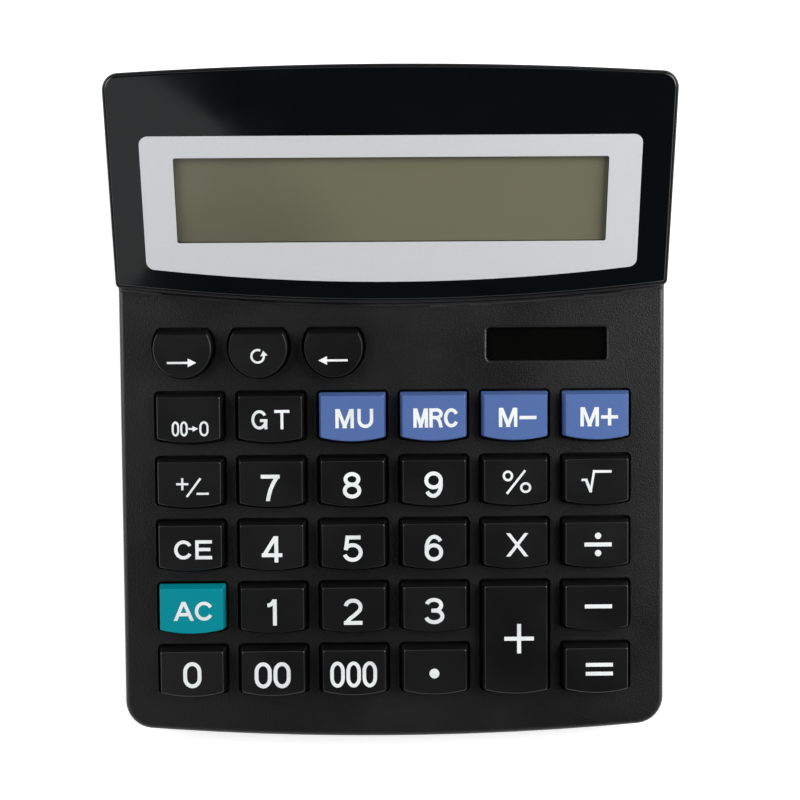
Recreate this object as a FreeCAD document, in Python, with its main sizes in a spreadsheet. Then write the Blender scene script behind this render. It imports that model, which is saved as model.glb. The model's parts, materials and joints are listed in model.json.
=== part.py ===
import FreeCAD, Part
import math
import os
import Sketcher
from FreeCAD import Placement, Rotation, Vector

# A desk calculator: a case with a sloped key deck and a raised display hood, keys on a rubber mat, a
# circuit board, a display, a solar cell and one battery cell behind a sliding door.
# Frame: millimetres, origin on the desk under the middle of the case, +X right, +Y to the back, +Z up.
# "Along" is a distance up a slope from the seam between deck and hood, "above" one square to that slope.

DIMENSIONS = [
    ("body_width", 154.0, "case over its side walls"),
    ("deck_length", 123.9, "key deck from the front edge to the seam, up its slope"),
    ("hood_length", 65.8, "hood from the seam to its rear edge, up its slope"),
    ("deck_slope", 5.0, "key deck to the desk, degrees"),
    ("hood_slope", 21.5, "hood face to the desk, degrees"),
    ("hood_step", 2.6, "rise at the seam from the deck to the face of the hood panel"),
    ("seam_bow", 4.8, "how far the seam curves back at the sides"),
    ("front_bow", 3.5, "how far the front edge curves back at the sides"),
    ("rear_bow", 2.2, "how far the rear edge curves forward at the sides"),
    ("front_corner", 8.0, "radius of the front corners in plan"),
    ("rear_corner", 4.5, "radius of the rear corners in plan"),
    ("case_wall", 2.0, "side, front and rear walls"),
    ("deck_wall", 2.0, "plate of the key deck"),
    ("hood_wall", 2.0, "plate of the hood under its panel"),
    ("floor_wall", 2.0, "floor of the bottom case"),
    ("base_height", 5.5, "side wall of the bottom case"),
    ("edge_round", 1.4, "rounding of the outer edges, and of the foot of the step at the seam"),
    ("rim_round", 0.4, "rounding of the edges of the hood"),
    ("parting_round", 0.35, "rounding of both shells where they meet"),
    ("panel_thickness", 1.6, "glossy panel on the hood"),
    ("panel_proud", 0.4, "panel above the rim of the hood"),
    ("panel_side_rim", 0.7, "rim of the hood beside the panel"),
    ("panel_rear_rim", 1.0, "rim of the hood behind the panel"),
    ("panel_lip", 0.55, "lip of the hood in front of the panel"),
    ("panel_corner", 3.6, "radius of the rear corners of the panel"),
    ("panel_front_corner", 0.8, "radius of the front corners of the panel"),
    ("panel_round", 0.6, "rounding of the panel's face edge"),
    ("panel_fit", 0.1, "gap round the panel in its recess"),
    ("bezel_side_inset", 9.0, "from the side of the case to the silver frame"),
    ("bezel_foot", 5.9, "along the hood to the middle of the frame's front edge"),
    ("bezel_length", 40.7, "frame from its front edge to its straight rear edge"),
    ("bezel_bow", 4.1, "how far the frame's front edge curves back at the sides"),
    ("bezel_corner", 2.4, "radius of the frame's corners"),
    ("bezel_thickness", 0.3, "sheet of the frame"),
    ("bezel_fit", 0.03, "gap round the frame in its recess"),
    ("bezel_side_bar", 8.9, "side bar of the frame, from its edge to the window"),
    ("window_foot", 17.2, "along the hood to the front edge of the window"),
    ("window_length", 23.5, "display window, up the slope"),
    ("window_corner", 0.6, "radius of the window's corners"),
    ("pane_set_back", 0.15, "pane below the face of the panel"),
    ("pane_thickness", 1.3, "clear pane"),
    ("pane_fit", 0.1, "gap round the pane"),
    ("lcd_margin", 3.2, "display beyond the window on each side"),
    ("lcd_fit", 0.3, "gap round the display in the hood"),
    ("holder_margin", 4.0, "bracket beyond the display on each side"),
    ("holder_bar", 9.0, "width of the bracket's bars"),
    ("holder_thickness", 1.2, "bracket behind the display"),
    ("ribbon_width", 60.0, "display ribbon"),
    ("ribbon_thickness", 0.25, "display ribbon"),
    ("ribbon_bond", 5.0, "ribbon bonded to the display and to the board"),
    ("key_side_margin", 9.505, "deck beside the outer holes"),
    ("key_land", 2.59, "deck between two holes of a row"),
    ("first_row_back", 24.35, "from the seam to the back edge of the first row's holes"),
    ("first_row_land", 3.05, "deck between the first row of holes and the second"),
    ("row_land", 2.7, "deck between two of the lower rows of holes"),
    ("key_front_margin", 12.15, "deck in front of the last row of holes"),
    ("key_hole_bow", 1.15, "curve of the front edge of a key and its hole"),
    ("key_hole_corner", 1.4, "radius of the hole's corners"),
    ("key_gap", 0.75, "gap between a key and its hole"),
    ("key_height", 3.9, "key above the deck"),
    ("key_side_draft", 0.6, "how far a key narrows to its top at each side"),
    ("key_front_draft", 0.15, "how far a key narrows to its top at the front"),
    ("key_back_draft", 0.85, "how far a key narrows to its top at the back"),
    ("key_corner", 0.4, "radius of a key's corners"),
    ("key_bevel", 0.2, "bevel of a key's top edge"),
    ("key_wall", 1.6, "wall of a key at the deck"),
    ("key_top_wall", 1.4, "top of a key"),
    ("flange_reach", 1.15, "flange beyond the wall of a key"),
    ("flange_thickness", 0.8, "flange that keeps a key in the case"),
    ("flange_play", 0.1, "gap between a flange and the deck"),
    ("plunger_radius", 2.3, "plunger inside a key"),
    ("plunger_reach", 1.1, "plunger below the flange"),
    ("round_hole_radius", 9.1, "hole for a round key"),
    ("round_hole_flat", 5.55, "from the middle of a round key's hole to its flat edge"),
    ("round_pitch", 21.15, "from one round key to the next"),
    ("round_side_inset", 18.15, "from the side of the case to the middle of the first round key"),
    ("round_row", 12.05, "from the seam to the middle of the round keys' holes"),
    ("round_draft", 0.25, "how far a round key narrows to its top"),
    ("round_back_draft", 0.5, "how much more it narrows at its straight edge"),
    ("round_lean", 0.45, "how far the top of a round key lies to the front"),
    ("dome_height", 2.8, "dome of the rubber mat"),
    ("dome_foot_radius", 4.6, "dome at its foot"),
    ("dome_top_radius", 2.6, "dome at its top"),
    ("mat_thickness", 0.8, "sheet of the rubber mat"),
    ("mat_margin", 2.4, "mat beyond the outer domes"),
    ("board_thickness", 1.6, "circuit board"),
    ("board_gap", 0.8, "gap between the board and the walls of the case"),
    ("board_front_gap", 0.5, "gap between the board and the ends of the curved front wall"),
    ("board_back", 9.0, "board beyond the seam"),
    ("board_clearance", 1.57, "gap between the board's front edge and the floor"),
    ("board_notch", 8.0, "corner of the board cut out for a post"),
    ("board_post_radius", 2.3, "post that holds the board"),
    ("board_post_inset", 5.3, "from the side of the case to the board posts"),
    ("board_post_first", 8.0, "from the seam to the first board posts"),
    ("board_post_last", 23.9, "from the front edge of the deck to the last board posts"),
    ("chip_radius", 6.5, "drop of resin over the chip"),
    ("chip_height", 1.6, "drop of resin over the chip"),
    ("chip_round", 1.44, "rounding of the drop of resin"),
    ("chip_row", 34.0, "from the seam to the chip"),
    ("capacitor_radius", 2.5, "buffer capacitor"),
    ("capacitor_length", 11.0, "buffer capacitor"),
    ("capacitor_row", 20.0, "from the seam to the capacitor"),
    ("screw_radius", 1.2, "shank of a screw"),
    ("screw_fit", 0.05, "gap round a shank"),
    ("screw_head_radius", 2.3, "head of a screw"),
    ("screw_head_height", 1.5, "head of a screw"),
    ("screw_grip", 4.0, "screw inside a post"),
    ("drive_reach", 1.45, "middle of a screw to the end of its cross recess"),
    ("drive_half", 0.33, "half the width of a slot in the cross recess"),
    ("drive_depth", 0.8, "depth of the cross recess"),
    ("post_radius", 3.0, "post that joins the two cases"),
    ("post_inset", 7.0, "from the side of the case to its posts"),
    ("front_post_inset", 8.6, "from the front edge to the front posts"),
    ("rear_post_inset", 9.2, "from the rear edge to the rear posts"),
    ("head_well", 2.6, "depth of the wells for the screw heads"),
    ("head_fit", 0.3, "gap round a screw head"),
    ("foot_radius", 5.0, "rubber foot"),
    ("foot_proud", 1.0, "foot below the floor"),
    ("foot_recess", 0.5, "foot let into the floor"),
    ("foot_round", 0.3, "rounding of a foot"),
    ("foot_fit", 0.1, "gap round a foot"),
    ("foot_inset_side", 16.0, "from the side of the case to the feet"),
    ("foot_inset_end", 17.0, "from the front or rear edge to the feet"),
    ("solar_width", 34.0, "solar opening"),
    ("solar_length", 9.2, "solar opening, up the slope"),
    ("solar_side_inset", 33.35, "from the side of the case to the middle of the solar opening"),
    ("solar_corner", 1.0, "radius of the solar opening's corners"),
    ("solar_row", 11.75, "from the seam to the middle of the solar opening"),
    ("solar_recess", 0.9, "pane below the deck"),
    ("solar_round", 0.7, "rounding of the rim of the solar opening"),
    ("solar_seat", 1.1, "pane and cell beyond the opening on each side"),
    ("solar_fit", 0.1, "gap round the solar pane"),
    ("solar_cell_thickness", 1.1, "solar cell"),
    ("solar_lead_spacing", 24.0, "from one solar lead to the other"),
    ("lead_radius", 0.5, "insulated lead"),
    ("lead_bend", 1.4, "bend of a battery lead"),
    ("lead_reach", 5.0, "from the board's back edge to the joints of the battery leads"),
    ("cell_radius", 7.25, "battery cell"),
    ("cell_length", 50.5, "battery cell with its nub"),
    ("cell_nub_radius", 2.75, "nub of the battery cell"),
    ("cell_nub_length", 1.0, "nub of the battery cell"),
    ("cell_edge", 0.6, "rounding of the battery cell's ends"),
    ("cell_lift", 0.3, "gap between the cell and the top of the door"),
    ("cell_fit", 0.5, "gap between the cell and the sides of its bay"),
    ("contact_fit", 0.05, "gap at each contact"),
    ("contact_thickness", 0.4, "contact plate"),
    ("contact_width", 11.0, "contact plate"),
    ("contact_rise", 1.7, "contact plate above the axis of the cell"),
    ("contact_drop", 4.5, "contact plate below the axis of the cell"),
    ("spring_length", 5.0, "contact spring, pressed"),
    ("spring_foot_radius", 4.0, "contact spring at its plate"),
    ("spring_tip_radius", 2.4, "contact spring at the cell"),
    ("spring_wall", 0.7, "wire of the contact spring"),
    ("bay_inset", 18.3, "from the rear edge to the axis of the cell"),
    ("bay_wall", 1.5, "walls of the battery bay"),
    ("bay_rise", 1.2, "bay above the axis of the cell"),
    ("bay_roof", 1.2, "plate over the door's slide"),
    ("door_margin", 2.0, "door beyond the bay on three sides"),
    ("door_tongue", 1.0, "tongue beyond each side of the door"),
    ("door_fit", 0.2, "gap round the door"),
    ("door_inset", 2.2, "door's rear edge from the rear edge of the case"),
    ("groove_width", 1.2, "grip groove in the door"),
    ("groove_length", 20.0, "grip groove in the door"),
    ("groove_depth", 0.35, "grip groove in the door"),
    ("groove_pitch", 2.6, "from groove to groove"),
    ("cut_overlap", 1.0, "how far a cut runs past what it cuts"),
]
KEY_COLUMNS = 6
LOWER_ROWS = 4
ROUND_KEYS = 3
BOARD_POST_ROWS = 3
GRIP_GROOVES = 4
TALL_COLUMN = 4
TALL_ROW = 3
MIDDLE_COLUMN = (KEY_COLUMNS - 1) / 2
# A step of a pattern that is as long as all the others
EVEN_STEP = -1.0
MATCH = 1e-4

doc = FreeCAD.newDocument("desk_calculator")
sheet = doc.addObject("Spreadsheet::Sheet", "dims")
for row, (alias, size, note) in enumerate(DIMENSIONS, start=1):
    sheet.set(f"A{row}", alias)
    sheet.set(f"B{row}", str(size))
    sheet.set(f"C{row}", note)
    sheet.setAlias(f"B{row}", alias)
doc.recompute()

# Derived places, as expressions of the sheet
DECK_ANGLE = "(dims.deck_slope * 1deg)"
HOOD_ANGLE = "(dims.hood_slope * 1deg)"
DECK_RUN = f"(dims.deck_length * cos({DECK_ANGLE}))"
HOOD_RUN = f"(dims.hood_length * cos({HOOD_ANGLE}))"
FRONT_Y = f"(-({DECK_RUN} + {HOOD_RUN}) / 2)"
BACK_Y = f"(({DECK_RUN} + {HOOD_RUN}) / 2)"
SEAM_Y = f"(({DECK_RUN} - {HOOD_RUN}) / 2)"
HALF_WIDTH = "(dims.body_width / 2)"
FLOOR_TOP = "(dims.foot_proud + dims.floor_wall)"
SPLIT_Z = "(dims.foot_proud + dims.base_height)"
FLANGE_TOP = "(-dims.deck_wall - dims.flange_play)"
FLANGE_FOOT = f"({FLANGE_TOP} - dims.flange_thickness)"
PLUNGER_FOOT = f"({FLANGE_FOOT} - dims.plunger_reach)"
MAT_TOP = f"({PLUNGER_FOOT} - dims.dome_height)"
BOARD_TOP = f"({MAT_TOP} - dims.mat_thickness)"
BOARD_FOOT = f"({BOARD_TOP} - dims.board_thickness)"
BOARD_FRONT = "(-dims.deck_length + dims.case_wall + dims.front_bow + dims.board_front_gap)"
SEAM_Z = (f"({FLOOR_TOP} + dims.board_clearance - {BOARD_FOOT} * cos({DECK_ANGLE})"
          f" - {BOARD_FRONT} * sin({DECK_ANGLE}))")
HOOD_TOP_Z = f"({SEAM_Z} + dims.hood_step + dims.hood_length * sin({HOOD_ANGLE}))"
SEAM_RADIUS = f"(({HALF_WIDTH} ^ 2 + dims.seam_bow ^ 2) / (2 * dims.seam_bow))"
PANEL_FOOT = "(-dims.panel_thickness)"
HOOD_FOOT = "(-dims.panel_thickness - dims.hood_wall)"
BEZEL_HALF_WIDTH = f"({HALF_WIDTH} - dims.bezel_side_inset)"
WINDOW_HALF_WIDTH = f"({BEZEL_HALF_WIDTH} - dims.bezel_side_bar)"
KEY_HOLE_WIDTH = (f"((dims.body_width - 2 * dims.key_side_margin - {KEY_COLUMNS - 1} * dims.key_land)"
                  f" / {KEY_COLUMNS})")
KEY_HOLE_LENGTH = ("((dims.deck_length - dims.first_row_back - dims.first_row_land - dims.key_front_margin"
                   f" - {LOWER_ROWS - 1} * dims.row_land) / {LOWER_ROWS + 1})")
KEY_PITCH = f"({KEY_HOLE_WIDTH} + dims.key_land)"
FIRST_ROW_PITCH = f"({KEY_HOLE_LENGTH} + dims.first_row_land)"
ROW_PITCH = f"({KEY_HOLE_LENGTH} + dims.row_land)"
KEY_HALF_WIDTH = f"({KEY_HOLE_WIDTH} / 2 - dims.key_gap)"
KEY_HALF_LENGTH = f"({KEY_HOLE_LENGTH} / 2 - dims.key_gap)"
SOLAR_X = f"({HALF_WIDTH} - dims.solar_side_inset)"
BOARD_POST_PITCH = (f"((dims.deck_length - dims.board_post_first - dims.board_post_last)"
                    f" / {BOARD_POST_ROWS - 1})")
CELL_Y = f"({BACK_Y} - dims.bay_inset)"
CELL_Z = f"({FLOOR_TOP} + dims.cell_lift + dims.cell_radius)"
BAY_HALF_LENGTH = "((dims.cell_length + dims.spring_length) / 2 + dims.contact_thickness + dims.contact_fit)"
BAY_HALF_WIDTH = "(dims.cell_radius + dims.cell_fit)"
DOOR_HALF_WIDTH = f"({BAY_HALF_LENGTH} + dims.door_margin)"
DOOR_FRONT = f"({CELL_Y} - {BAY_HALF_WIDTH} - dims.door_margin)"
DOOR_BACK = f"({BACK_Y} - dims.door_inset)"
DOOR_TOP = f"({FLOOR_TOP} - dims.door_fit)"
DOOR_STEP = "(dims.foot_proud + dims.floor_wall / 2)"


def value(expression):
    """The number that an expression of the sheet stands for."""
    result = sheet.evalExpression(str(expression))
    return float(getattr(result, "Value", result))


def on_deck(along, above):
    """Y and Z of a point on or under the key deck."""
    y = f"({SEAM_Y} + ({along}) * cos({DECK_ANGLE}) - ({above}) * sin({DECK_ANGLE}))"
    z = f"({SEAM_Z} + ({along}) * sin({DECK_ANGLE}) + ({above}) * cos({DECK_ANGLE}))"
    return y, z


def on_hood(along, above):
    """Y and Z of a point on or under the face of the hood panel."""
    y = f"({SEAM_Y} + ({along}) * cos({HOOD_ANGLE}) - ({above}) * sin({HOOD_ANGLE}))"
    z = f"({SEAM_Z} + dims.hood_step + ({along}) * sin({HOOD_ANGLE}) + ({above}) * cos({HOOD_ANGLE}))"
    return y, z


def column_x(column):
    """Place of a column of keys across the deck."""
    return f"({column - MIDDLE_COLUMN} * {KEY_PITCH})"


def round_x(column):
    """Place of a round key across the deck."""
    return f"(-{HALF_WIDTH} + dims.round_side_inset + {column} * dims.round_pitch)"


def row_along(row):
    """Place of the middle of a row of keys, from 0 for the first, up the deck."""
    first = f"(-dims.first_row_back - {KEY_HOLE_LENGTH} / 2)"
    if row == 0:
        return first
    return f"({first} - {FIRST_ROW_PITCH} - {row - 1} * {ROW_PITCH})"


def new_body(label):
    """An empty sub-part."""
    body = doc.addObject("PartDesign::Body", label)
    body.Label = label
    return body


def new_sketch(body, role, place=("0", "0", "0"), tilt=None):
    """A sketch on one of the body's own planes, moved to place and tilted about X."""
    sketch = body.newObject("Sketcher::SketchObject", f"{body.Name}_sketch")
    plane = [feature for feature in body.Origin.OriginFeatures if feature.Role == role][0]
    sketch.AttachmentSupport = [(plane, "")]
    sketch.MapMode = "FlatFace"
    hold_place(sketch, "AttachmentOffset", place, tilt)
    return sketch


def hold_place(thing, prop, place, tilt=None):
    """Binds a placement property to expressions for its place and its tilt about X."""
    setattr(thing, prop, Placement(Vector(0, 0, 0), Rotation(Vector(1, 0, 0), 1 if tilt else 0)))
    for axis, expression in zip("xyz", place):
        thing.setExpression(f"{prop}.Base.{axis}", expression)
    if tilt:
        thing.setExpression(f"{prop}.Rotation.Angle", tilt)


def level_sketch(body, z):
    """A level sketch at a height."""
    return new_sketch(body, "XY_Plane", ("0", "0", z))


def deck_sketch(body, above):
    """A sketch parallel to the key deck, from the middle of the seam."""
    return new_sketch(body, "XY_Plane", ("0", *on_deck("0", above)), DECK_ANGLE)


def hood_sketch(body, above):
    """A sketch parallel to the hood panel, from the middle of the seam."""
    return new_sketch(body, "XY_Plane", ("0", *on_hood("0", above)), HOOD_ANGLE)


def hold(sketch, constraint, expression):
    """Adds a dimension to a sketch and binds it to an expression."""
    index = sketch.addConstraint(constraint)
    sketch.setExpression(f"Constraints[{index}]", expression)


def arc_between(start, end, bow):
    """An arc from start to end that bows to the right of its way, and its two tangents."""
    chord = end - start
    along = Vector(chord).normalize()
    right = Vector(along.y, -along.x, 0)
    radius = (chord.Length ** 2 / 4 + bow ** 2) / (2 * abs(bow))
    centre = (start + end) / 2 + right * (bow - math.copysign(radius, bow))
    angles = [math.atan2(spot.y - centre.y, spot.x - centre.x) for spot in (start, end)]
    if bow < 0:
        angles.reverse()
    arc = Part.ArcOfCircle(Part.Circle(centre, Vector(0, 0, 1), radius), *angles)
    half_turn = 2 * math.atan2(2 * bow, chord.Length)
    tangents = [along * math.cos(half_turn) + right * math.sin(sign * half_turn) for sign in (1, -1)]
    return arc, tangents


def draw_outline(sketch, corners, bows=None, rounding=None):
    """A closed outline, anticlockwise, with each corner held by an X and a Y dimension.

    bows gives the edges that are arcs and how far each bows out; rounding is the radius of every
    corner, or a dictionary of the corners that are rounded.
    """
    bows = bows or {}
    count = len(corners)
    if rounding is not None and not isinstance(rounding, dict):
        rounding = {index: rounding for index in range(count)}
    rounding = rounding or {}
    spots = [Vector(value(x), value(y), 0) for x, y in corners]
    tangents = []
    for index in range(count):
        start, end = spots[index], spots[(index + 1) % count]
        if index in bows:
            tangents.append(arc_between(start, end, value(bows[index]))[1])
        else:
            tangents.append([Vector(end - start).normalize()] * 2)
    ends = corner_ends(spots, tangents, rounding)
    marks = [mark_corner(sketch, spot, corner) for spot, corner in zip(spots, corners)]
    edges = []
    for index in range(count):
        after = (index + 1) % count
        edges.append(draw_edge(sketch, ends[index][1], ends[after][0], bows.get(index),
                               corners[index], corners[after]))
    for index in range(count):
        join_corner(sketch, marks[index], edges[index - 1], edges[index], ends[index], rounding.get(index))


def corner_ends(spots, tangents, rounding):
    """Where the edges before and after each corner stop, and the turn there."""
    ends = []
    for index, spot in enumerate(spots):
        arriving, leaving = tangents[index - 1][1], tangents[index][0]
        turn = math.atan2(arriving.cross(leaving).z, arriving.dot(leaving))
        back = 0
        if index in rounding:
            back = value(rounding[index]) * math.tan(abs(turn) / 2)
        ends.append((spot - arriving * back, spot + leaving * back, turn))
    return ends


def mark_corner(sketch, spot, corner):
    """A construction point at a corner, held from the sketch's origin."""
    mark = sketch.addGeometry(Part.Point(spot), True)
    hold(sketch, Sketcher.Constraint("DistanceX", -1, 1, mark, 1, spot.x), corner[0])
    hold(sketch, Sketcher.Constraint("DistanceY", -1, 1, mark, 1, spot.y), corner[1])
    return mark


def draw_edge(sketch, start, end, bow, corner, next_corner):
    """A line, or an arc whose radius follows from its bow. Gives the edge and its end numbers."""
    if bow is None:
        return sketch.addGeometry(Part.LineSegment(start, end), False), 1, 2
    arc = arc_between(start, end, value(bow))[0]
    edge = sketch.addGeometry(arc, False)
    chord = (f"((({next_corner[0]}) - ({corner[0]})) ^ 2 + (({next_corner[1]}) - ({corner[1]})) ^ 2)")
    radius = f"(({chord} / 4 + ({bow}) ^ 2) / (2 * abs({bow})))"
    hold(sketch, Sketcher.Constraint("Radius", edge, value(radius)), radius)
    if value(bow) < 0:
        return edge, 2, 1
    return edge, 1, 2


def join_corner(sketch, mark, before, after, ends, radius):
    """Joins two edges at a corner, by a point or by a tangent arc."""
    edge_in, end_in = before[0], before[2]
    edge_out, end_out = after[0], after[1]
    if radius is None:
        sketch.addConstraint(Sketcher.Constraint("Coincident", edge_in, end_in, mark, 1))
        sketch.addConstraint(Sketcher.Constraint("Coincident", edge_out, end_out, mark, 1))
        return
    start, end, turn = ends
    bow = value(radius) * (1 - math.cos(turn / 2))
    arc = sketch.addGeometry(arc_between(start, end, math.copysign(bow, turn))[0], False)
    arc_in, arc_out = (1, 2) if turn > 0 else (2, 1)
    sketch.addConstraint(Sketcher.Constraint("PointOnObject", mark, 1, edge_in))
    sketch.addConstraint(Sketcher.Constraint("PointOnObject", mark, 1, edge_out))
    sketch.addConstraint(Sketcher.Constraint("Tangent", edge_in, end_in, arc, arc_in))
    sketch.addConstraint(Sketcher.Constraint("Tangent", arc, arc_out, edge_out, end_out))
    hold(sketch, Sketcher.Constraint("Radius", arc, value(radius)), radius)


def draw_circle(sketch, x, y, radius):
    """A circle held by its centre and radius."""
    centre = Vector(value(x), value(y), 0)
    circle = sketch.addGeometry(Part.Circle(centre, Vector(0, 0, 1), value(radius)), False)
    hold(sketch, Sketcher.Constraint("DistanceX", -1, 1, circle, 3, centre.x), x)
    hold(sketch, Sketcher.Constraint("DistanceY", -1, 1, circle, 3, centre.y), y)
    hold(sketch, Sketcher.Constraint("Radius", circle, value(radius)), radius)


def rectangle(half_width, front, back, middle="0"):
    """Corners of a rectangle about a middle line."""
    left, right = f"({middle} - {half_width})", f"({middle} + {half_width})"
    return [(left, front), (right, front), (right, back), (left, back)]


def pad(body, sketch, length, symmetric=False):
    """Raises a sketch, along its normal or evenly both ways."""
    feature = body.newObject("PartDesign::Pad", f"{body.Name}_pad")
    feature.Profile = sketch
    feature.setExpression("Length", length)
    if symmetric:
        feature.SideType = "Symmetric"
    doc.recompute()
    return feature


def pocket(body, sketch, length=None, up=False, symmetric=False):
    """Cuts a sketch down from its plane, or up, right through if no length is given."""
    before = body.Tip.Shape.Length
    feature = body.newObject("PartDesign::Pocket", f"{body.Name}_pocket")
    feature.Profile = sketch
    feature.Reversed = up
    if symmetric:
        feature.SideType = "Symmetric"
    if length is None:
        feature.Type = "ThroughAll"
    else:
        feature.setExpression("Length", length)
    doc.recompute()
    if feature.Shape.isNull() or abs(feature.Shape.Length - before) < MATCH:
        raise RuntimeError(f"a pocket of {body.Label} cuts nothing")
    return feature


def repeat(body, originals, sketch, columns, column_pitch, rows=1, row_pitch=None):
    """Repeats features to the right and down along the axes of a sketch."""
    feature = body.newObject("PartDesign::LinearPattern", f"{body.Name}_pattern")
    feature.Originals = originals
    feature.Direction = (sketch, ["H_Axis"])
    feature.Mode = "Spacing"
    feature.setExpression("Offset", column_pitch)
    feature.Occurrences = columns
    if rows > 1:
        feature.Direction2 = (sketch, ["V_Axis"])
        feature.Reversed2 = True
        feature.Mode2 = "Spacing"
        feature.setExpression("Offset2", row_pitch)
        feature.Occurrences2 = rows
        feature.Spacings2 = [EVEN_STEP] * (rows - 1)
    body.Tip = feature
    doc.recompute()
    return feature


def round_edges(body, chosen, radius):
    """Rounds the edges of the body that a test picks."""
    base = body.Tip
    names = [f"Edge{index}" for index, edge in enumerate(base.Shape.Edges, start=1) if chosen(edge)]
    if not names:
        raise RuntimeError(f"no edge of {body.Label} to round")
    feature = body.newObject("PartDesign::Fillet", f"{body.Name}_fillet")
    feature.Base = (base, names)
    feature.setExpression("Radius", radius)
    doc.recompute()
    if feature.Shape.isNull() or "Invalid" in feature.State:
        raise RuntimeError(f"{body.Label} can't round {names}")


def middle_of(edge):
    """The point half way along an edge."""
    return edge.valueAt((edge.FirstParameter + edge.LastParameter) / 2)


def lies_on(edge, point, normal):
    """Whether an edge lies in a plane."""
    spots = [edge.valueAt(edge.FirstParameter), middle_of(edge), edge.valueAt(edge.LastParameter)]
    return all(abs((spot - point).dot(normal)) < MATCH for spot in spots)


def plan_outline(sketch, inset):
    """The outline of the case in plan, drawn in by inset."""
    half = f"({HALF_WIDTH} - {inset})"
    front = f"({FRONT_Y} + dims.front_bow + {inset})"
    back = f"({BACK_Y} - dims.rear_bow - {inset})"
    front_corner = f"(dims.front_corner - {inset})"
    rear_corner = f"(dims.rear_corner - {inset})"
    draw_outline(sketch, rectangle(half, front, back), {0: "dims.front_bow", 2: "dims.rear_bow"},
                 {0: front_corner, 1: front_corner, 2: rear_corner, 3: rear_corner})


def case_block(label, inset, foot, deck_drop, hood_drop):
    """A solid block with the form of the top case, drawn in and lowered for its hollow."""
    body = new_body(label)
    plan = level_sketch(body, foot)
    plan_outline(plan, inset)
    pad(body, plan, f"({HOOD_TOP_Z} + dims.cut_overlap - {foot})")

    hood_cut = new_sketch(body, "YZ_Plane")
    low_y, low_z = on_hood("-dims.cut_overlap", f"-({hood_drop})")
    high_y, high_z = on_hood("(dims.hood_length + dims.case_wall)", f"-({hood_drop})")
    ceiling = f"({HOOD_TOP_Z} + dims.hood_length)"
    draw_outline(hood_cut, [(low_y, low_z), (high_y, high_z), (high_y, ceiling),
                            (f"({low_y} - dims.hood_length)", ceiling)])
    pocket(body, hood_cut, symmetric=True)

    deck_cut = deck_sketch(body, f"-({deck_drop})")
    reach = f"({HALF_WIDTH} + dims.cut_overlap)"
    bow = f"({SEAM_RADIUS} - sqrt({SEAM_RADIUS} ^ 2 - {reach} ^ 2))"
    front = "(-dims.deck_length - dims.case_wall)"
    draw_outline(deck_cut, rectangle(reach, front, f"({bow} + {inset})"), {2: f"(-{bow})"})
    pocket(body, deck_cut, up=True)
    return body


def panel_outline(grow):
    """Outline of the hood panel, grown all round: its corners, bows and roundings."""
    half = f"({HALF_WIDTH} - dims.panel_side_rim + {grow})"
    front = f"(dims.panel_lip + dims.seam_bow - {grow})"
    back = f"(dims.hood_length - dims.panel_rear_rim - dims.rear_bow + {grow})"
    front_corner = f"(dims.panel_front_corner + {grow})"
    rear_corner = f"(dims.panel_corner + {grow})"
    roundings = {0: front_corner, 1: front_corner, 2: rear_corner, 3: rear_corner}
    return rectangle(half, front, back), {0: "dims.seam_bow", 2: "dims.rear_bow"}, roundings


def bezel_outline(grow):
    """Outline of the silver frame, grown all round."""
    half = f"({BEZEL_HALF_WIDTH} + {grow})"
    front = f"(dims.bezel_foot + dims.bezel_bow - {grow})"
    back = f"(dims.bezel_foot + dims.bezel_length + {grow})"
    return rectangle(half, front, back), {0: "dims.bezel_bow"}, f"(dims.bezel_corner + {grow})"


def window_outline(grow, corner="dims.window_corner"):
    """Outline of the display window, grown all round."""
    half = f"({WINDOW_HALF_WIDTH} + {grow})"
    front = f"(dims.window_foot - {grow})"
    back = f"(dims.window_foot + dims.window_length + {grow})"
    return rectangle(half, front, back), None, corner


def solar_outline(grow):
    """Outline of the solar opening, grown all round."""
    half = f"(dims.solar_width / 2 + {grow})"
    front = f"(-dims.solar_row - dims.solar_length / 2 - {grow})"
    back = f"(-dims.solar_row + dims.solar_length / 2 + {grow})"
    return rectangle(half, front, back, SOLAR_X), None, f"(dims.solar_corner + {grow})"


def key_outline(half_width, front, back, bow, corner):
    """Outline of a key with a curved front edge: its corners, bows and rounding."""
    return rectangle(half_width, f"({front} + {bow})", back), {0: bow}, corner


def round_outline(radius, flat, middle, corner):
    """Outline of a round key with a straight back edge, its round part drawn as two arcs."""
    rise = f"({flat} - ({middle}))"
    reach = f"sqrt({radius} ^ 2 - {rise} ^ 2)"
    half_chord = f"(({reach} ^ 2 + ({rise} + {radius}) ^ 2) / 4)"
    bow = f"({radius} - sqrt({radius} ^ 2 - {half_chord}))"
    corners = [(reach, flat), (f"-{reach}", flat), ("0", f"(({middle}) - {radius})")]
    return corners, {1: bow, 2: bow}, {0: corner, 1: corner}


def moved(outline, x, y):
    """An outline shifted across its sketch."""
    corners, bows, corner = outline
    return [(f"({x} + {a})", f"({y} + {b})") for a, b in corners], bows, corner


def key_hole(rows=0):
    """Outline of the hole of a key that covers one row, or more by rows."""
    half_length = f"({KEY_HOLE_LENGTH} / 2 + {rows} * {ROW_PITCH} / 2)"
    return key_outline(f"({KEY_HOLE_WIDTH} / 2)", f"(-{half_length})", half_length,
                       "dims.key_hole_bow", "dims.key_hole_corner")


def round_hole():
    """Outline of the hole of a round key."""
    return round_outline("dims.round_hole_radius", "dims.round_hole_flat", "0", "dims.key_hole_corner")


def post_places():
    """Places of the posts that join the two cases."""
    side = f"({HALF_WIDTH} - dims.post_inset)"
    front = f"({FRONT_Y} + dims.front_post_inset)"
    back = f"({BACK_Y} - dims.rear_post_inset)"
    return [(f"-{side}", front), (side, front), (side, back), (f"-{side}", back)]


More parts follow.
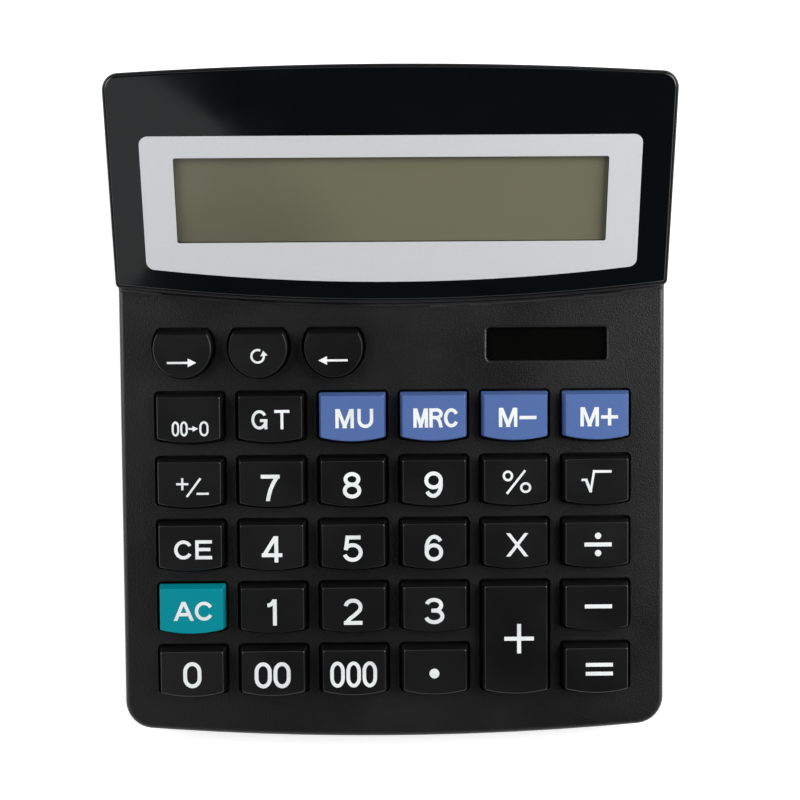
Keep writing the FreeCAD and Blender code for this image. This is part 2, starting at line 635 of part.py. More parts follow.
def board_post_places():
    """Places of the posts that hold the board, on the deck."""
    side = f"({HALF_WIDTH} - dims.board_post_inset)"
    places = []
    for row in range(BOARD_POST_ROWS):
        along = f"(-dims.board_post_first - {row} * {BOARD_POST_PITCH})"
        places += [(f"-{side}", along), (side, along)]
    return places


def circles(sketch, places, radius):
    """Equal circles at places."""
    for x, y in places:
        draw_circle(sketch, x, y, radius)
    return sketch


def make_top_case():
    """Upper shell: deck, hood with a recess for its panel, posts, solar opening and key holes."""
    body = case_block("top_case", "0", SPLIT_Z, "0", "dims.panel_proud")
    round_top_case(body)
    hollow = case_block("top_case_hollow", "dims.case_wall", f"({SPLIT_Z} - dims.cut_overlap)",
                        "dims.deck_wall", "(dims.panel_thickness + dims.hood_wall)")
    cut = body.newObject("PartDesign::Boolean", "top_case_hollow_cut")
    cut.Type = "Cut"
    cut.setObjects([hollow])
    doc.recompute()
    add_posts(body)

    recess = hood_sketch(body, PANEL_FOOT)
    draw_outline(recess, *panel_outline("dims.panel_fit"))
    pocket(body, recess, up=True)
    opening = hood_sketch(body, PANEL_FOOT)
    draw_outline(opening, *window_outline("(dims.lcd_margin + dims.lcd_fit)"))
    pocket(body, opening, "(dims.hood_wall + dims.cut_overlap)")
    cut_solar_opening(body)
    cut_key_holes(body)
    return body


def round_top_case(body):
    """Rounds the outer edges of the deck, the step and the hood."""
    deck_point = Vector(0, value(SEAM_Y), value(SEAM_Z))
    deck_normal = Rotation(Vector(1, 0, 0), value("dims.deck_slope")).multVec(Vector(0, 0, 1))
    hood_y, hood_z = on_hood("0", "-dims.panel_proud")
    hood_point = Vector(0, value(hood_y), value(hood_z))
    hood_normal = Rotation(Vector(1, 0, 0), value("dims.hood_slope")).multVec(Vector(0, 0, 1))
    side = value(HALF_WIDTH)

    def deck_or_step_edge(edge):
        start, end = edge.valueAt(edge.FirstParameter), edge.valueAt(edge.LastParameter)
        square = start != end and (end - start).cross(deck_normal).Length < MATCH
        return lies_on(edge, deck_point, deck_normal) or (square and abs(abs(start.x) - side) < MATCH)

    round_edges(body, deck_or_step_edge, "dims.edge_round")
    round_edges(body, lambda edge: lies_on(edge, hood_point, hood_normal), "dims.rim_round")
    round_parting(body)


def round_parting(body):
    """Rounds a shell where it meets the other, so that a fine groove shows between the two."""
    parting = Vector(0, 0, value(SPLIT_Z))
    round_edges(body, lambda edge: lies_on(edge, parting, Vector(0, 0, 1)), "dims.parting_round")


def add_posts(body):
    """Posts inside the upper shell for the screws of the case and of the board."""
    posts = circles(level_sketch(body, SPLIT_Z), post_places()[:2], "dims.post_radius")
    front_deck = on_deck(f"(({post_places()[0][1]} - {SEAM_Y}) / cos({DECK_ANGLE}))", "0")[1]
    pad(body, posts, f"({front_deck} - dims.deck_wall / 2 - {SPLIT_Z})")
    posts = circles(level_sketch(body, SPLIT_Z), post_places()[2:], "dims.post_radius")
    rear_hood = on_hood(f"(({post_places()[2][1]} - {SEAM_Y}) / cos({HOOD_ANGLE}))", "0")[1]
    roof = f"(dims.panel_thickness + dims.hood_wall / 2) / cos({HOOD_ANGLE})"
    pad(body, posts, f"({rear_hood} - {roof} - {SPLIT_Z})")
    bores = circles(level_sketch(body, SPLIT_Z), post_places(), "(dims.screw_radius + dims.screw_fit)")
    pocket(body, bores, "(dims.screw_grip + dims.screw_fit)", up=True)
    posts = circles(deck_sketch(body, BOARD_TOP), board_post_places(), "dims.board_post_radius")
    pad(body, posts, f"(-{BOARD_TOP} - dims.deck_wall / 2)")
    bores = circles(deck_sketch(body, BOARD_TOP), board_post_places(),
                    "(dims.screw_radius + dims.screw_fit)")
    pocket(body, bores, "(dims.screw_grip + dims.screw_fit)", up=True)


def cut_solar_opening(body):
    """Opening with a rounded rim over the solar cell, and the seat of its pane below."""
    depth = "(dims.deck_wall + dims.cut_overlap)"
    opening = deck_sketch(body, "0")
    draw_outline(opening, *solar_outline("0"))
    pocket(body, opening, depth)
    seat = deck_sketch(body, "-dims.solar_recess")
    draw_outline(seat, *solar_outline("dims.solar_seat"))
    pocket(body, seat, depth)
    deck_point = Vector(0, value(SEAM_Y), value(SEAM_Z))
    deck_normal = Rotation(Vector(1, 0, 0), value("dims.deck_slope")).multVec(Vector(0, 0, 1))
    middle_y, middle_z = on_deck("(-dims.solar_row)", "0")
    middle = Vector(value(SOLAR_X), value(middle_y), value(middle_z))
    reach = value("sqrt(dims.solar_width ^ 2 + dims.solar_length ^ 2) / 2") + MATCH

    def rim_edge(edge):
        near = all((vertex.Point - middle).Length < reach for vertex in edge.Vertexes)
        return near and lies_on(edge, deck_point, deck_normal)

    round_edges(body, rim_edge, "dims.solar_round")


def cut_key_holes(body):
    """Holes for all the keys in the deck."""
    depth = "(dims.deck_wall + dims.cut_overlap)"
    odd = deck_sketch(body, "0")
    tall_along = f"({row_along(TALL_ROW)} - {ROW_PITCH} / 2)"
    draw_outline(odd, *moved(key_hole(1), column_x(TALL_COLUMN), tall_along))
    for column in range(ROUND_KEYS):
        draw_outline(odd, *moved(round_hole(), round_x(column), "-dims.round_row"))
    pocket(body, odd, depth)
    first_row = deck_sketch(body, "0")
    draw_outline(first_row, *moved(key_hole(), column_x(0), row_along(0)))
    repeat(body, [pocket(body, first_row, depth)], first_row, KEY_COLUMNS, KEY_PITCH)
    lower_rows = deck_sketch(body, "0")
    draw_outline(lower_rows, *moved(key_hole(), column_x(0), row_along(1)))
    repeat(body, [pocket(body, lower_rows, depth)], lower_rows, KEY_COLUMNS, KEY_PITCH, LOWER_ROWS, ROW_PITCH)


def make_hood_panel():
    """Glossy plate on the hood, with a recess for the silver frame and an opening for the pane."""
    body = new_body("hood_panel")
    plate = hood_sketch(body, PANEL_FOOT)
    draw_outline(plate, *panel_outline("0"))
    pad(body, plate, "dims.panel_thickness")
    face_y, face_z = on_hood("0", "0")
    face_point = Vector(0, value(face_y), value(face_z))
    face_normal = Rotation(Vector(1, 0, 0), value("dims.hood_slope")).multVec(Vector(0, 0, 1))
    round_edges(body, lambda edge: lies_on(edge, face_point, face_normal), "dims.panel_round")
    recess = hood_sketch(body, "-dims.bezel_thickness")
    draw_outline(recess, *bezel_outline("dims.bezel_fit"))
    pocket(body, recess, up=True)
    window = hood_sketch(body, "0")
    draw_outline(window, *window_outline("0"))
    pocket(body, window, "(dims.panel_thickness + dims.cut_overlap)")
    return body


def make_bezel():
    """Silver frame round the display."""
    body = new_body("display_bezel")
    sheet_sketch = hood_sketch(body, "-dims.bezel_thickness")
    draw_outline(sheet_sketch, *bezel_outline("0"))
    draw_outline(sheet_sketch, *window_outline("0"))
    pad(body, sheet_sketch, "dims.bezel_thickness")
    return body


def plate_on_hood(label, outline, top, thickness):
    """A flat plate parallel to the hood, from its top down."""
    body = new_body(label)
    sketch = hood_sketch(body, f"({top} - {thickness})")
    draw_outline(sketch, *outline)
    pad(body, sketch, thickness)
    return body


def make_display():
    """Clear pane, display cell and the bracket behind it."""
    pane = plate_on_hood("display_window", window_outline("(-dims.pane_fit)"), "(-dims.pane_set_back)",
                         "dims.pane_thickness")
    cell = plate_on_hood("lcd_glass", window_outline("dims.lcd_margin"), PANEL_FOOT, "dims.hood_wall")
    holder = plate_on_hood("lcd_holder", window_outline("(dims.lcd_margin + dims.holder_margin)"),
                           HOOD_FOOT, "dims.holder_thickness")
    gap = hood_sketch(holder, HOOD_FOOT)
    draw_outline(gap, *window_outline("(dims.lcd_margin + dims.holder_margin - dims.holder_bar)"))
    pocket(holder, gap, "(dims.holder_thickness + dims.cut_overlap)")
    return [pane, cell, holder]


def make_ribbon():
    """Ribbon from the back of the display down to the board."""
    body = new_body("lcd_ribbon")
    sketch = new_sketch(body, "YZ_Plane")
    inner = "(dims.window_foot - dims.lcd_margin - dims.holder_margin + dims.holder_bar)"
    bend = f"({inner} + dims.ribbon_bond)"
    tail = f"({bend} + dims.ribbon_bond)"
    foot = "(dims.board_back - dims.ribbon_bond)"
    low = f"({HOOD_FOOT} - dims.ribbon_thickness)"
    high = f"({BOARD_TOP} + dims.ribbon_thickness)"
    toe = f"({foot} - dims.ribbon_bond)"
    corners = [on_hood(tail, HOOD_FOOT), on_hood(bend, HOOD_FOOT), on_deck(foot, high), on_deck(toe, high),
               on_deck(toe, BOARD_TOP), on_deck(f"({foot} + 2 * dims.ribbon_thickness)", BOARD_TOP),
               on_hood(bend, low), on_hood(tail, low)]
    draw_outline(sketch, corners)
    pad(body, sketch, "dims.ribbon_width", symmetric=True)
    return body


def make_key(label, foot, shoulder, crown, flange, hollow, plungers):
    """A hollow key in its own frame, from the middle of its hole on the deck: wall, flange, plungers."""
    body = new_body(label)
    sections = []
    levels = ["0", "(dims.key_height - dims.key_bevel)", "dims.key_height"]
    for level, outline in zip(levels, [foot, shoulder, crown]):
        section = level_sketch(body, level)
        draw_outline(section, *outline)
        sections.append(section)
    doc.recompute()
    loft = body.newObject("PartDesign::AdditiveLoft", f"{label}_loft")
    loft.Profile = sections[0]
    loft.Sections = sections[1:]
    loft.Ruled = True
    doc.recompute()
    skirt = level_sketch(body, FLANGE_FOOT)
    draw_outline(skirt, *foot)
    pad(body, skirt, f"(-{FLANGE_FOOT})")
    rim = level_sketch(body, FLANGE_FOOT)
    draw_outline(rim, *flange)
    pad(body, rim, "dims.flange_thickness")
    inside = level_sketch(body, FLANGE_FOOT)
    draw_outline(inside, *hollow)
    pocket(body, inside, f"(dims.key_height - dims.key_top_wall - {FLANGE_FOOT})", up=True)
    stems = circles(level_sketch(body, PLUNGER_FOOT), plungers, "dims.plunger_radius")
    pad(body, stems, f"(dims.key_height - dims.key_top_wall / 2 - {PLUNGER_FOOT})")
    return body


def place_key(body, x, along):
    """Sets a key in its hole on the deck."""
    hold_place(body, "Placement", (x, *on_deck(along, "0")), DECK_ANGLE)


def copy_key(label, master):
    """Another key of the same form."""
    body = new_body(label)
    copy = body.newObject("PartDesign::FeatureBase", f"{label}_form")
    copy.BaseFeature = master
    body.Tip = copy
    return body


def make_block_key(label, rows=0):
    """A key with a curved front edge that covers one row, or more by rows."""
    half_length = f"({KEY_HALF_LENGTH} + {rows} * {ROW_PITCH} / 2)"

    def outline(side, front, back):
        return key_outline(f"({KEY_HALF_WIDTH} - {side})", f"(-{half_length} + {front})",
                           f"({half_length} - {back})", "dims.key_hole_bow", "dims.key_corner")

    def drawn_in(inset):
        return outline(f"(dims.key_side_draft + {inset})", f"(dims.key_front_draft + {inset})",
                       f"(dims.key_back_draft + {inset})")

    flange = outline("(-dims.flange_reach)", "(-dims.flange_reach)", "(-dims.flange_reach)")
    plungers = [("0", f"({row - rows / 2} * {ROW_PITCH})") for row in range(rows + 1)]
    return make_key(label, outline("0", "0", "0"), drawn_in("0"), drawn_in("dims.key_bevel"), flange,
                    drawn_in("dims.key_wall"), plungers)


def make_round_key(label):
    """A round key with a straight back edge."""
    radius = "(dims.round_hole_radius - dims.key_gap)"
    flat = "(dims.round_hole_flat - dims.key_gap)"

    def outline(inset):
        taper = f"(1 - ({inset}) / {radius})"
        return f"({radius} * {taper})", f"({flat} * {taper})", f"(dims.key_corner * {taper})"

    def straight(inset):
        reach, back, corner = outline(inset)
        return round_outline(reach, back, "0", corner)

    def leaning(inset):
        reach, back, corner = outline(f"(dims.round_draft + {inset})")
        return round_outline(reach, f"({back} - dims.round_lean - dims.round_back_draft)",
                             "(-dims.round_lean)", corner)

    return make_key(label, straight("0"), leaning("0"), leaning("dims.key_bevel"),
                    straight("(-dims.flange_reach)"), leaning("dims.key_wall"), [("0", "0")])


ROUND_ROW = ["key_review_next", "key_replay", "key_review_back"]
KEY_ROWS = [
    ["key_backspace", "key_grand_total", "key_markup", "key_memory_recall", "key_memory_minus",
     "key_memory_plus"],
    ["key_sign", "key_7", "key_8", "key_9", "key_percent", "key_root"],
    ["key_clear_entry", "key_4", "key_5", "key_6", "key_times", "key_divide"],
    ["key_all_clear", "key_1", "key_2", "key_3", None, "key_minus"],
    ["key_0", "key_00", "key_000", "key_point", None, "key_equals"],
]
TALL_KEY = "key_plus"


def make_keys():
    """All the keys, each in its hole."""
    keys = []
    round_master = None
    for column, label in enumerate(ROUND_ROW):
        key = copy_key(label, round_master) if round_master else make_round_key(label)
        round_master = round_master or key
        place_key(key, round_x(column), "(-dims.round_row)")
        keys.append(key)
    master = None
    for row, labels in enumerate(KEY_ROWS):
        for column, label in enumerate(labels):
            if label is None:
                continue
            key = copy_key(label, master) if master else make_block_key(label)
            master = master or key
            place_key(key, column_x(column), row_along(row))
            keys.append(key)
    tall = make_block_key(TALL_KEY, 1)
    place_key(tall, column_x(TALL_COLUMN), f"({row_along(TALL_ROW)} - {ROW_PITCH} / 2)")
    keys.append(tall)
    return keys


def make_keypad():
    """Rubber mat on the board with a dome under each plunger."""
    body = new_body("rubber_keypad")
    mat = deck_sketch(body, BOARD_TOP)
    reach = "(dims.dome_foot_radius + dims.mat_margin)"
    side = f"(-({column_x(0)}) + {reach})"
    front = f"({row_along(len(KEY_ROWS) - 1)} - {reach})"
    step = f"({row_along(0)} + {reach})"
    back = f"(-dims.round_row + {reach})"
    tab_left = f"({round_x(0)} - {reach})"
    tab_right = f"({round_x(ROUND_KEYS - 1)} + {reach})"
    draw_outline(mat, [(f"(-{side})", front), (side, front), (side, step), (tab_right, step),
                       (tab_right, back), (tab_left, back), (tab_left, step), (f"(-{side})", step)])
    pad(body, mat, "dims.mat_thickness")
    rows = [(column_x(0), row_along(0), KEY_COLUMNS, KEY_PITCH, 1),
            (column_x(0), row_along(1), KEY_COLUMNS, KEY_PITCH, LOWER_ROWS),
            (round_x(0), "(-dims.round_row)", ROUND_KEYS, "dims.round_pitch", 1)]
    for x, along, columns, pitch, count in rows:
        dome = body.newObject("PartDesign::AdditiveCone", "dome")
        plane = [feature for feature in body.Origin.OriginFeatures if feature.Role == "XY_Plane"][0]
        dome.AttachmentSupport = [(plane, "")]
        dome.MapMode = "FlatFace"
        hold_place(dome, "AttachmentOffset", (x, *on_deck(along, MAT_TOP)), DECK_ANGLE)
        dome.setExpression("Radius1", "dims.dome_foot_radius")
        dome.setExpression("Radius2", "dims.dome_top_radius")
        dome.setExpression("Height", "dims.dome_height")
        doc.recompute()
        repeat(body, [dome], mat, columns, pitch, count, ROW_PITCH)
    return body


def make_board():
    """Circuit board with holes for its screws and corners cut out for the posts."""
    body = new_body("main_board")
    sketch = deck_sketch(body, BOARD_FOOT)
    side = f"({HALF_WIDTH} - dims.case_wall - dims.board_gap)"
    notch_side = f"({side} - dims.board_notch)"
    notch_front = f"({BOARD_FRONT} + dims.board_notch)"
    back = "dims.board_back"
    corners = [(f"(-{notch_side})", BOARD_FRONT), (notch_side, BOARD_FRONT), (notch_side, notch_front),
               (side, notch_front), (side, back), (f"(-{side})", back), (f"(-{side})", notch_front),
               (f"(-{notch_side})", notch_front)]
    draw_outline(sketch, corners)
    pad(body, sketch, "dims.board_thickness")
    holes = circles(deck_sketch(body, BOARD_TOP), board_post_places(),
                    "(dims.screw_radius + dims.screw_fit)")
    pocket(body, holes, "(dims.board_thickness + dims.cut_overlap)")
    return body


def draw_cross(sketch, x, y):
    """The outline of a cross recess round a place."""
    reach, half = "dims.drive_reach", "dims.drive_half"
    quarter = [(reach, half, 1, -1), (reach, half, 1, 1), (half, half, 1, 1)]
    corners = []
    for turn in range(4):
        for along, across, along_sign, across_sign in quarter:
            spot = [(along, along_sign), (across, across_sign)]
            for _ in range(turn):
                spot = [(spot[1][0], -spot[1][1]), spot[0]]
            corners.append(tuple(f"({middle} {'+' if sign > 0 else '-'} {size})"
                                 for middle, (size, sign) in zip((x, y), spot)))
    draw_outline(sketch, corners)


def make_screws(label, sketch_at, places, seat, grip_foot):
    """Equal screws in one group: heads below their seat, shanks up into the posts."""
    body = new_body(label)
    heads = circles(sketch_at(body, f"({seat} - dims.screw_head_height)"), places, "dims.screw_head_radius")
    pad(body, heads, "dims.screw_head_height")
    shanks = circles(sketch_at(body, f"({seat} - dims.screw_head_height / 2)"), places, "dims.screw_radius")
    pad(body, shanks, f"({grip_foot} + dims.screw_grip - {seat} + dims.screw_head_height / 2)")
    recesses = sketch_at(body, f"({seat} - dims.screw_head_height)")
    for x, y in places:
        draw_cross(recesses, x, y)
    pocket(body, recesses, "dims.drive_depth", up=True)
    return body


def make_board_parts():
    """The chip's drop of resin and the capacitor under the board."""
    chip = new_body("controller_chip")
    sketch = circles(deck_sketch(chip, f"({BOARD_FOOT} - dims.chip_height)"), [("0", "(-dims.chip_row)")],
                     "dims.chip_radius")
    pad(chip, sketch, "dims.chip_height")
    crown_y, crown_z = on_deck("(-dims.chip_row)", f"({BOARD_FOOT} - dims.chip_height)")
    crown = Vector(0, value(crown_y), value(crown_z))
    normal = Rotation(Vector(1, 0, 0), value("dims.deck_slope")).multVec(Vector(0, 0, 1))
    round_edges(chip, lambda edge: lies_on(edge, crown, normal), "dims.chip_round")
    can = new_body("board_capacitor")
    place = on_deck("(-dims.capacitor_row)", f"({BOARD_FOOT} - dims.capacitor_radius)")
    sketch = circles(new_sketch(can, "YZ_Plane"), [place], "dims.capacitor_radius")
    pad(can, sketch, "dims.capacitor_length", symmetric=True)
    return [chip, can]


def make_solar():
    """Clear pane, solar cell and its leads."""
    pane = new_body("solar_window")
    sketch = deck_sketch(pane, "(-dims.deck_wall)")
    draw_outline(sketch, *solar_outline("(dims.solar_seat - dims.solar_fit)"))
    pad(pane, sketch, "(dims.deck_wall - dims.solar_recess)")
    cell = new_body("solar_cell")
    cell_foot = "(-dims.deck_wall - dims.solar_cell_thickness)"
    sketch = deck_sketch(cell, cell_foot)
    draw_outline(sketch, *solar_outline("dims.solar_seat"))
    pad(cell, sketch, "dims.solar_cell_thickness")
    leads = new_body("solar_leads")
    places = [(f"({SOLAR_X} + {side} * dims.solar_lead_spacing / 2)", "(-dims.solar_row)")
              for side in (-1, 1)]
    sketch = circles(deck_sketch(leads, BOARD_TOP), places, "dims.lead_radius")
    pad(leads, sketch, f"({cell_foot} - {BOARD_TOP})")
    return [pane, cell, leads]


def make_bottom_case():
    """Lower shell: floor, walls, posts, wells for the screws and feet, battery bay and door slide."""
    body = new_body("bottom_case")
    plan = level_sketch(body, "dims.foot_proud")
    plan_outline(plan, "0")
    pad(body, plan, "dims.base_height")
    base = Vector(0, 0, value("dims.foot_proud"))
    round_edges(body, lambda edge: lies_on(edge, base, Vector(0, 0, 1)), "dims.edge_round")
    round_parting(body)
    inside = level_sketch(body, FLOOR_TOP)
    plan_outline(inside, "dims.case_wall")
    pocket(body, inside, up=True)

    roof = level_sketch(body, FLOOR_TOP)
    roof_half = f"({DOOR_HALF_WIDTH} + dims.door_tongue + dims.door_fit + dims.bay_wall)"
    draw_outline(roof, rectangle(roof_half, f"({DOOR_FRONT} - dims.bay_wall)",
                                 f"({BACK_Y} - dims.rear_bow - dims.case_wall / 2)"))
    pad(body, roof, "dims.bay_roof")
    bay = level_sketch(body, FLOOR_TOP)
    half = f"({BAY_HALF_LENGTH} + dims.bay_wall)"
    width = f"({BAY_HALF_WIDTH} + dims.bay_wall)"
    draw_outline(bay, rectangle(half, f"({CELL_Y} - {width})", f"({CELL_Y} + {width})"))
    pad(body, bay, f"({CELL_Z} + dims.bay_rise - {FLOOR_TOP})")
    room = level_sketch(body, "dims.foot_proud")
    draw_outline(room, rectangle(BAY_HALF_LENGTH, f"({CELL_Y} - {BAY_HALF_WIDTH})",
                                 f"({CELL_Y} + {BAY_HALF_WIDTH})"))
    pocket(body, room, up=True)
    exit_y = f"({BACK_Y} + dims.cut_overlap)"
    slide = level_sketch(body, "dims.foot_proud")
    draw_outline(slide, rectangle(f"({DOOR_HALF_WIDTH} + dims.door_fit)", f"({DOOR_FRONT} - dims.door_fit)",
                                  exit_y))
    pocket(body, slide, "dims.floor_wall", up=True)
    groove = level_sketch(body, f"({DOOR_STEP} - dims.door_fit)")
    draw_outline(groove, rectangle(f"({DOOR_HALF_WIDTH} + dims.door_tongue + dims.door_fit)",
                                   f"({DOOR_FRONT} - dims.door_fit)", exit_y))
    pocket(body, groove, f"({FLOOR_TOP} - {DOOR_STEP} + dims.door_fit)", up=True)

    posts = circles(level_sketch(body, FLOOR_TOP), post_places(), "dims.post_radius")
    pad(body, posts, f"({SPLIT_Z} - {FLOOR_TOP})")
    bores = circles(level_sketch(body, "dims.foot_proud"), post_places(),
                    "(dims.screw_radius + dims.screw_fit)")
    pocket(body, bores, up=True)
    wells = circles(level_sketch(body, "dims.foot_proud"), post_places(),
                    "(dims.screw_head_radius + dims.head_fit)")
    pocket(body, wells, "dims.head_well", up=True)
    recesses = circles(level_sketch(body, "dims.foot_proud"), foot_places(),
                       "(dims.foot_radius + dims.foot_fit)")
    pocket(body, recesses, "dims.foot_recess", up=True)
    return body


def foot_places():
    """Places of the feet."""
    side = f"({HALF_WIDTH} - dims.foot_inset_side)"
    front = f"({FRONT_Y} + dims.foot_inset_end)"
    back = f"({BACK_Y} - dims.foot_inset_end)"
    return [(f"-{side}", front), (side, front), (side, back), (f"-{side}", back)]


def make_feet():
    """Four rubber feet in one group."""
    body = new_body("rubber_feet")
    sketch = circles(level_sketch(body, "0"), foot_places(), "dims.foot_radius")
    pad(body, sketch, "(dims.foot_proud + dims.foot_recess)")
    round_edges(body, lambda edge: lies_on(edge, Vector(0, 0, 0), Vector(0, 0, 1)), "dims.foot_round")
    return body


def make_door():
    """Battery door: a plate with a tongue on each side and grip grooves below."""
    body = new_body("battery_door")
    plate = level_sketch(body, "dims.foot_proud")
    draw_outline(plate, rectangle(DOOR_HALF_WIDTH, DOOR_FRONT, DOOR_BACK))
    pad(body, plate, f"({DOOR_TOP} - dims.foot_proud)")
    tongue = level_sketch(body, DOOR_STEP)
    draw_outline(tongue, rectangle(f"({DOOR_HALF_WIDTH} + dims.door_tongue)", DOOR_FRONT, DOOR_BACK))
    pad(body, tongue, f"({DOOR_TOP} - {DOOR_STEP})")
    groove = level_sketch(body, "dims.foot_proud")
    back = f"({DOOR_BACK} - dims.groove_pitch)"
    draw_outline(groove, rectangle("(dims.groove_length / 2)", f"({back} - dims.groove_width)", back))
    grip = pocket(body, groove, "dims.groove_depth", up=True)
    repeat(body, [grip], groove, 1, "dims.groove_pitch", GRIP_GROOVES, "dims.groove_pitch")
    return body


def make_cell():
    """Battery cell with its nub, along X."""
    body = new_body("battery_cell")
    start = f"(-{BAY_HALF_LENGTH} + dims.contact_thickness + dims.spring_length + dims.contact_fit)"
    can = circles(new_sketch(body, "YZ_Plane", ("0", "0", start)), [(CELL_Y, CELL_Z)], "dims.cell_radius")
    pad(body, can, "(dims.cell_length - dims.cell_nub_length)")
    round_edges(body, lambda edge: edge.Closed, "dims.cell_edge")
    shoulder = f"({start} + dims.cell_length - dims.cell_nub_length)"
    nub = circles(new_sketch(body, "YZ_Plane", ("0", "0", shoulder)), [(CELL_Y, CELL_Z)],
                  "dims.cell_nub_radius")
    pad(body, nub, "dims.cell_nub_length")
    return body


def contact_plate(label, start):
    """A contact plate across the end of the bay."""
    body = new_body(label)
    sketch = new_sketch(body, "YZ_Plane", ("0", "0", start))
    half = "(dims.contact_width / 2)"
    low, high = f"({CELL_Z} - dims.contact_drop)", f"({CELL_Z} + dims.contact_rise)"
    corners = [(f"({CELL_Y} - {half})", low), (f"({CELL_Y} + {half})", low), (f"({CELL_Y} + {half})", high),
               (f"({CELL_Y} - {half})", high)]
    draw_outline(sketch, corners)
    pad(body, sketch, "dims.contact_thickness")
    return body


def make_contacts():
    """Plate contact at the nub, and a plate with a tapered spring at the other end."""
    plate = contact_plate("battery_plate", f"({BAY_HALF_LENGTH} - dims.contact_thickness)")
    spring = contact_plate("battery_spring", f"(-{BAY_HALF_LENGTH})")
    foot = f"(-{BAY_HALF_LENGTH} + dims.contact_thickness)"
    profile = new_sketch(spring, "XZ_Plane", ("0", CELL_Z, f"(-{CELL_Y})"))
    tip = f"({foot} + dims.spring_length)"
    corners = [(foot, "(dims.spring_foot_radius - dims.spring_wall)"),
               (tip, "(dims.spring_tip_radius - dims.spring_wall)"), (tip, "dims.spring_tip_radius"),
               (foot, "dims.spring_foot_radius")]
    draw_outline(profile, corners)
    turn = spring.newObject("PartDesign::Revolution", "spring_turn")
    turn.Profile = profile
    turn.ReferenceAxis = (profile, ["H_Axis"])
    doc.recompute()
    return [plate, spring]


def make_battery_leads():
    """Two leads from the tops of the contacts forward and up to the board."""
    body = new_body("battery_leads")
    across = f"({BAY_HALF_LENGTH} - dims.contact_thickness / 2)"
    level = f"({CELL_Z} + dims.contact_rise + dims.lead_radius + dims.contact_fit)"
    start_y = f"({CELL_Y} - dims.contact_width / 2 + 2 * dims.lead_radius)"
    joint_y, board_z = on_deck("(dims.board_back - dims.lead_reach)", BOARD_FOOT)
    joint_z = f"({board_z} - dims.lead_radius * tan({DECK_ANGLE}) - dims.contact_fit)"
    bend_y = f"({joint_y} + dims.lead_bend)"
    bend_z = f"({level} + dims.lead_bend)"
    path = new_sketch(body, "YZ_Plane", ("0", "0", across))
    spots = [Vector(value(y), value(z), 0) for y, z in
             [(start_y, level), (bend_y, level), (joint_y, bend_z), (joint_y, joint_z)]]
    run = path.addGeometry(Part.LineSegment(spots[0], spots[1]), False)
    centre = Vector(spots[1].x, spots[2].y, 0)
    bend_circle = Part.Circle(centre, Vector(0, 0, 1), value("dims.lead_bend"))
    bend = path.addGeometry(Part.ArcOfCircle(bend_circle, math.pi, 1.5 * math.pi), False)
    rise = path.addGeometry(Part.LineSegment(spots[2], spots[3]), False)
    hold(path, Sketcher.Constraint("DistanceX", -1, 1, run, 1, spots[0].x), start_y)
    hold(path, Sketcher.Constraint("DistanceY", -1, 1, run, 1, spots[0].y), level)
    hold(path, Sketcher.Constraint("DistanceX", -1, 1, rise, 2, spots[3].x), joint_y)
    hold(path, Sketcher.Constraint("DistanceY", -1, 1, rise, 2, spots[3].y), joint_z)
    path.addConstraint(Sketcher.Constraint("Horizontal", run))
    path.addConstraint(Sketcher.Constraint("Vertical", rise))
    path.addConstraint(Sketcher.Constraint("Tangent", run, 2, bend, 2))
    path.addConstraint(Sketcher.Constraint("Tangent", bend, 1, rise, 1))
    hold(path, Sketcher.Constraint("Radius", bend, value("dims.lead_bend")), "dims.lead_bend")
    end = new_sketch(body, "XZ_Plane", ("0", "0", f"(-{start_y})"))
    draw_circle(end, across, level, "dims.lead_radius")
    doc.recompute()
    pipe = body.newObject("PartDesign::AdditivePipe", "battery_lead")
    pipe.Profile = end
    pipe.Spine = path
    doc.recompute()
    other = body.newObject("PartDesign::Mirrored", "battery_lead_pair")
    other.Originals = [pipe]
    plane = [feature for feature in body.Origin.OriginFeatures if feature.Role == "YZ_Plane"][0]
    other.MirrorPlane = (plane, [""])
    body.Tip = other
    doc.recompute()
    return body


def make_all():
    """Every sub-part of the calculator."""
    well = "(dims.foot_proud + dims.head_well)"
    case_screws = make_screws("case_screws", level_sketch, post_places(), well, SPLIT_Z)
    board_screws = make_screws("board_screws", deck_sketch, board_post_places(), BOARD_FOOT, BOARD_TOP)
    pieces = [make_top_case(), make_bottom_case(), make_hood_panel(), make_bezel(), *make_display()]
    pieces += [make_ribbon(), make_board(), make_keypad(), *make_board_parts(), board_screws, case_screws]
    pieces += [*make_solar(), make_feet(), make_door(), make_cell(), *make_contacts(), make_battery_leads()]
    pieces += make_keys()
    return pieces


def check(pieces):
    """Stops at anything that failed to build."""
    for thing in doc.Objects:
        if {"Invalid", "Error"} & set(thing.State):
            raise RuntimeError(f"{thing.Label} failed: {thing.State}")
    for piece in pieces:
        if piece.Shape.isNull() or not piece.Shape.isValid() or not piece.Shape.Solids:
            raise RuntimeError(f"{piece.Label} has no valid solid")


sub_parts = make_all()
doc.recompute()
check(sub_parts)
os.makedirs("parts", exist_ok=True)
for sub_part in sub_parts:
    sub_part.Shape.exportStep(f"parts/{sub_part.Label}.step")
    box = sub_part.Shape.BoundBox
    print(f"{sub_part.Label}: {len(sub_part.Shape.Solids)} solids, {sub_part.Shape.Volume:.1f} mm3, "
          f"z {box.ZMin:.2f} to {box.ZMax:.2f}")
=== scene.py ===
import bmesh
import bpy
import json
import math
from bpy.props import FloatProperty, FloatVectorProperty, PointerProperty
from mathutils import Matrix, Vector

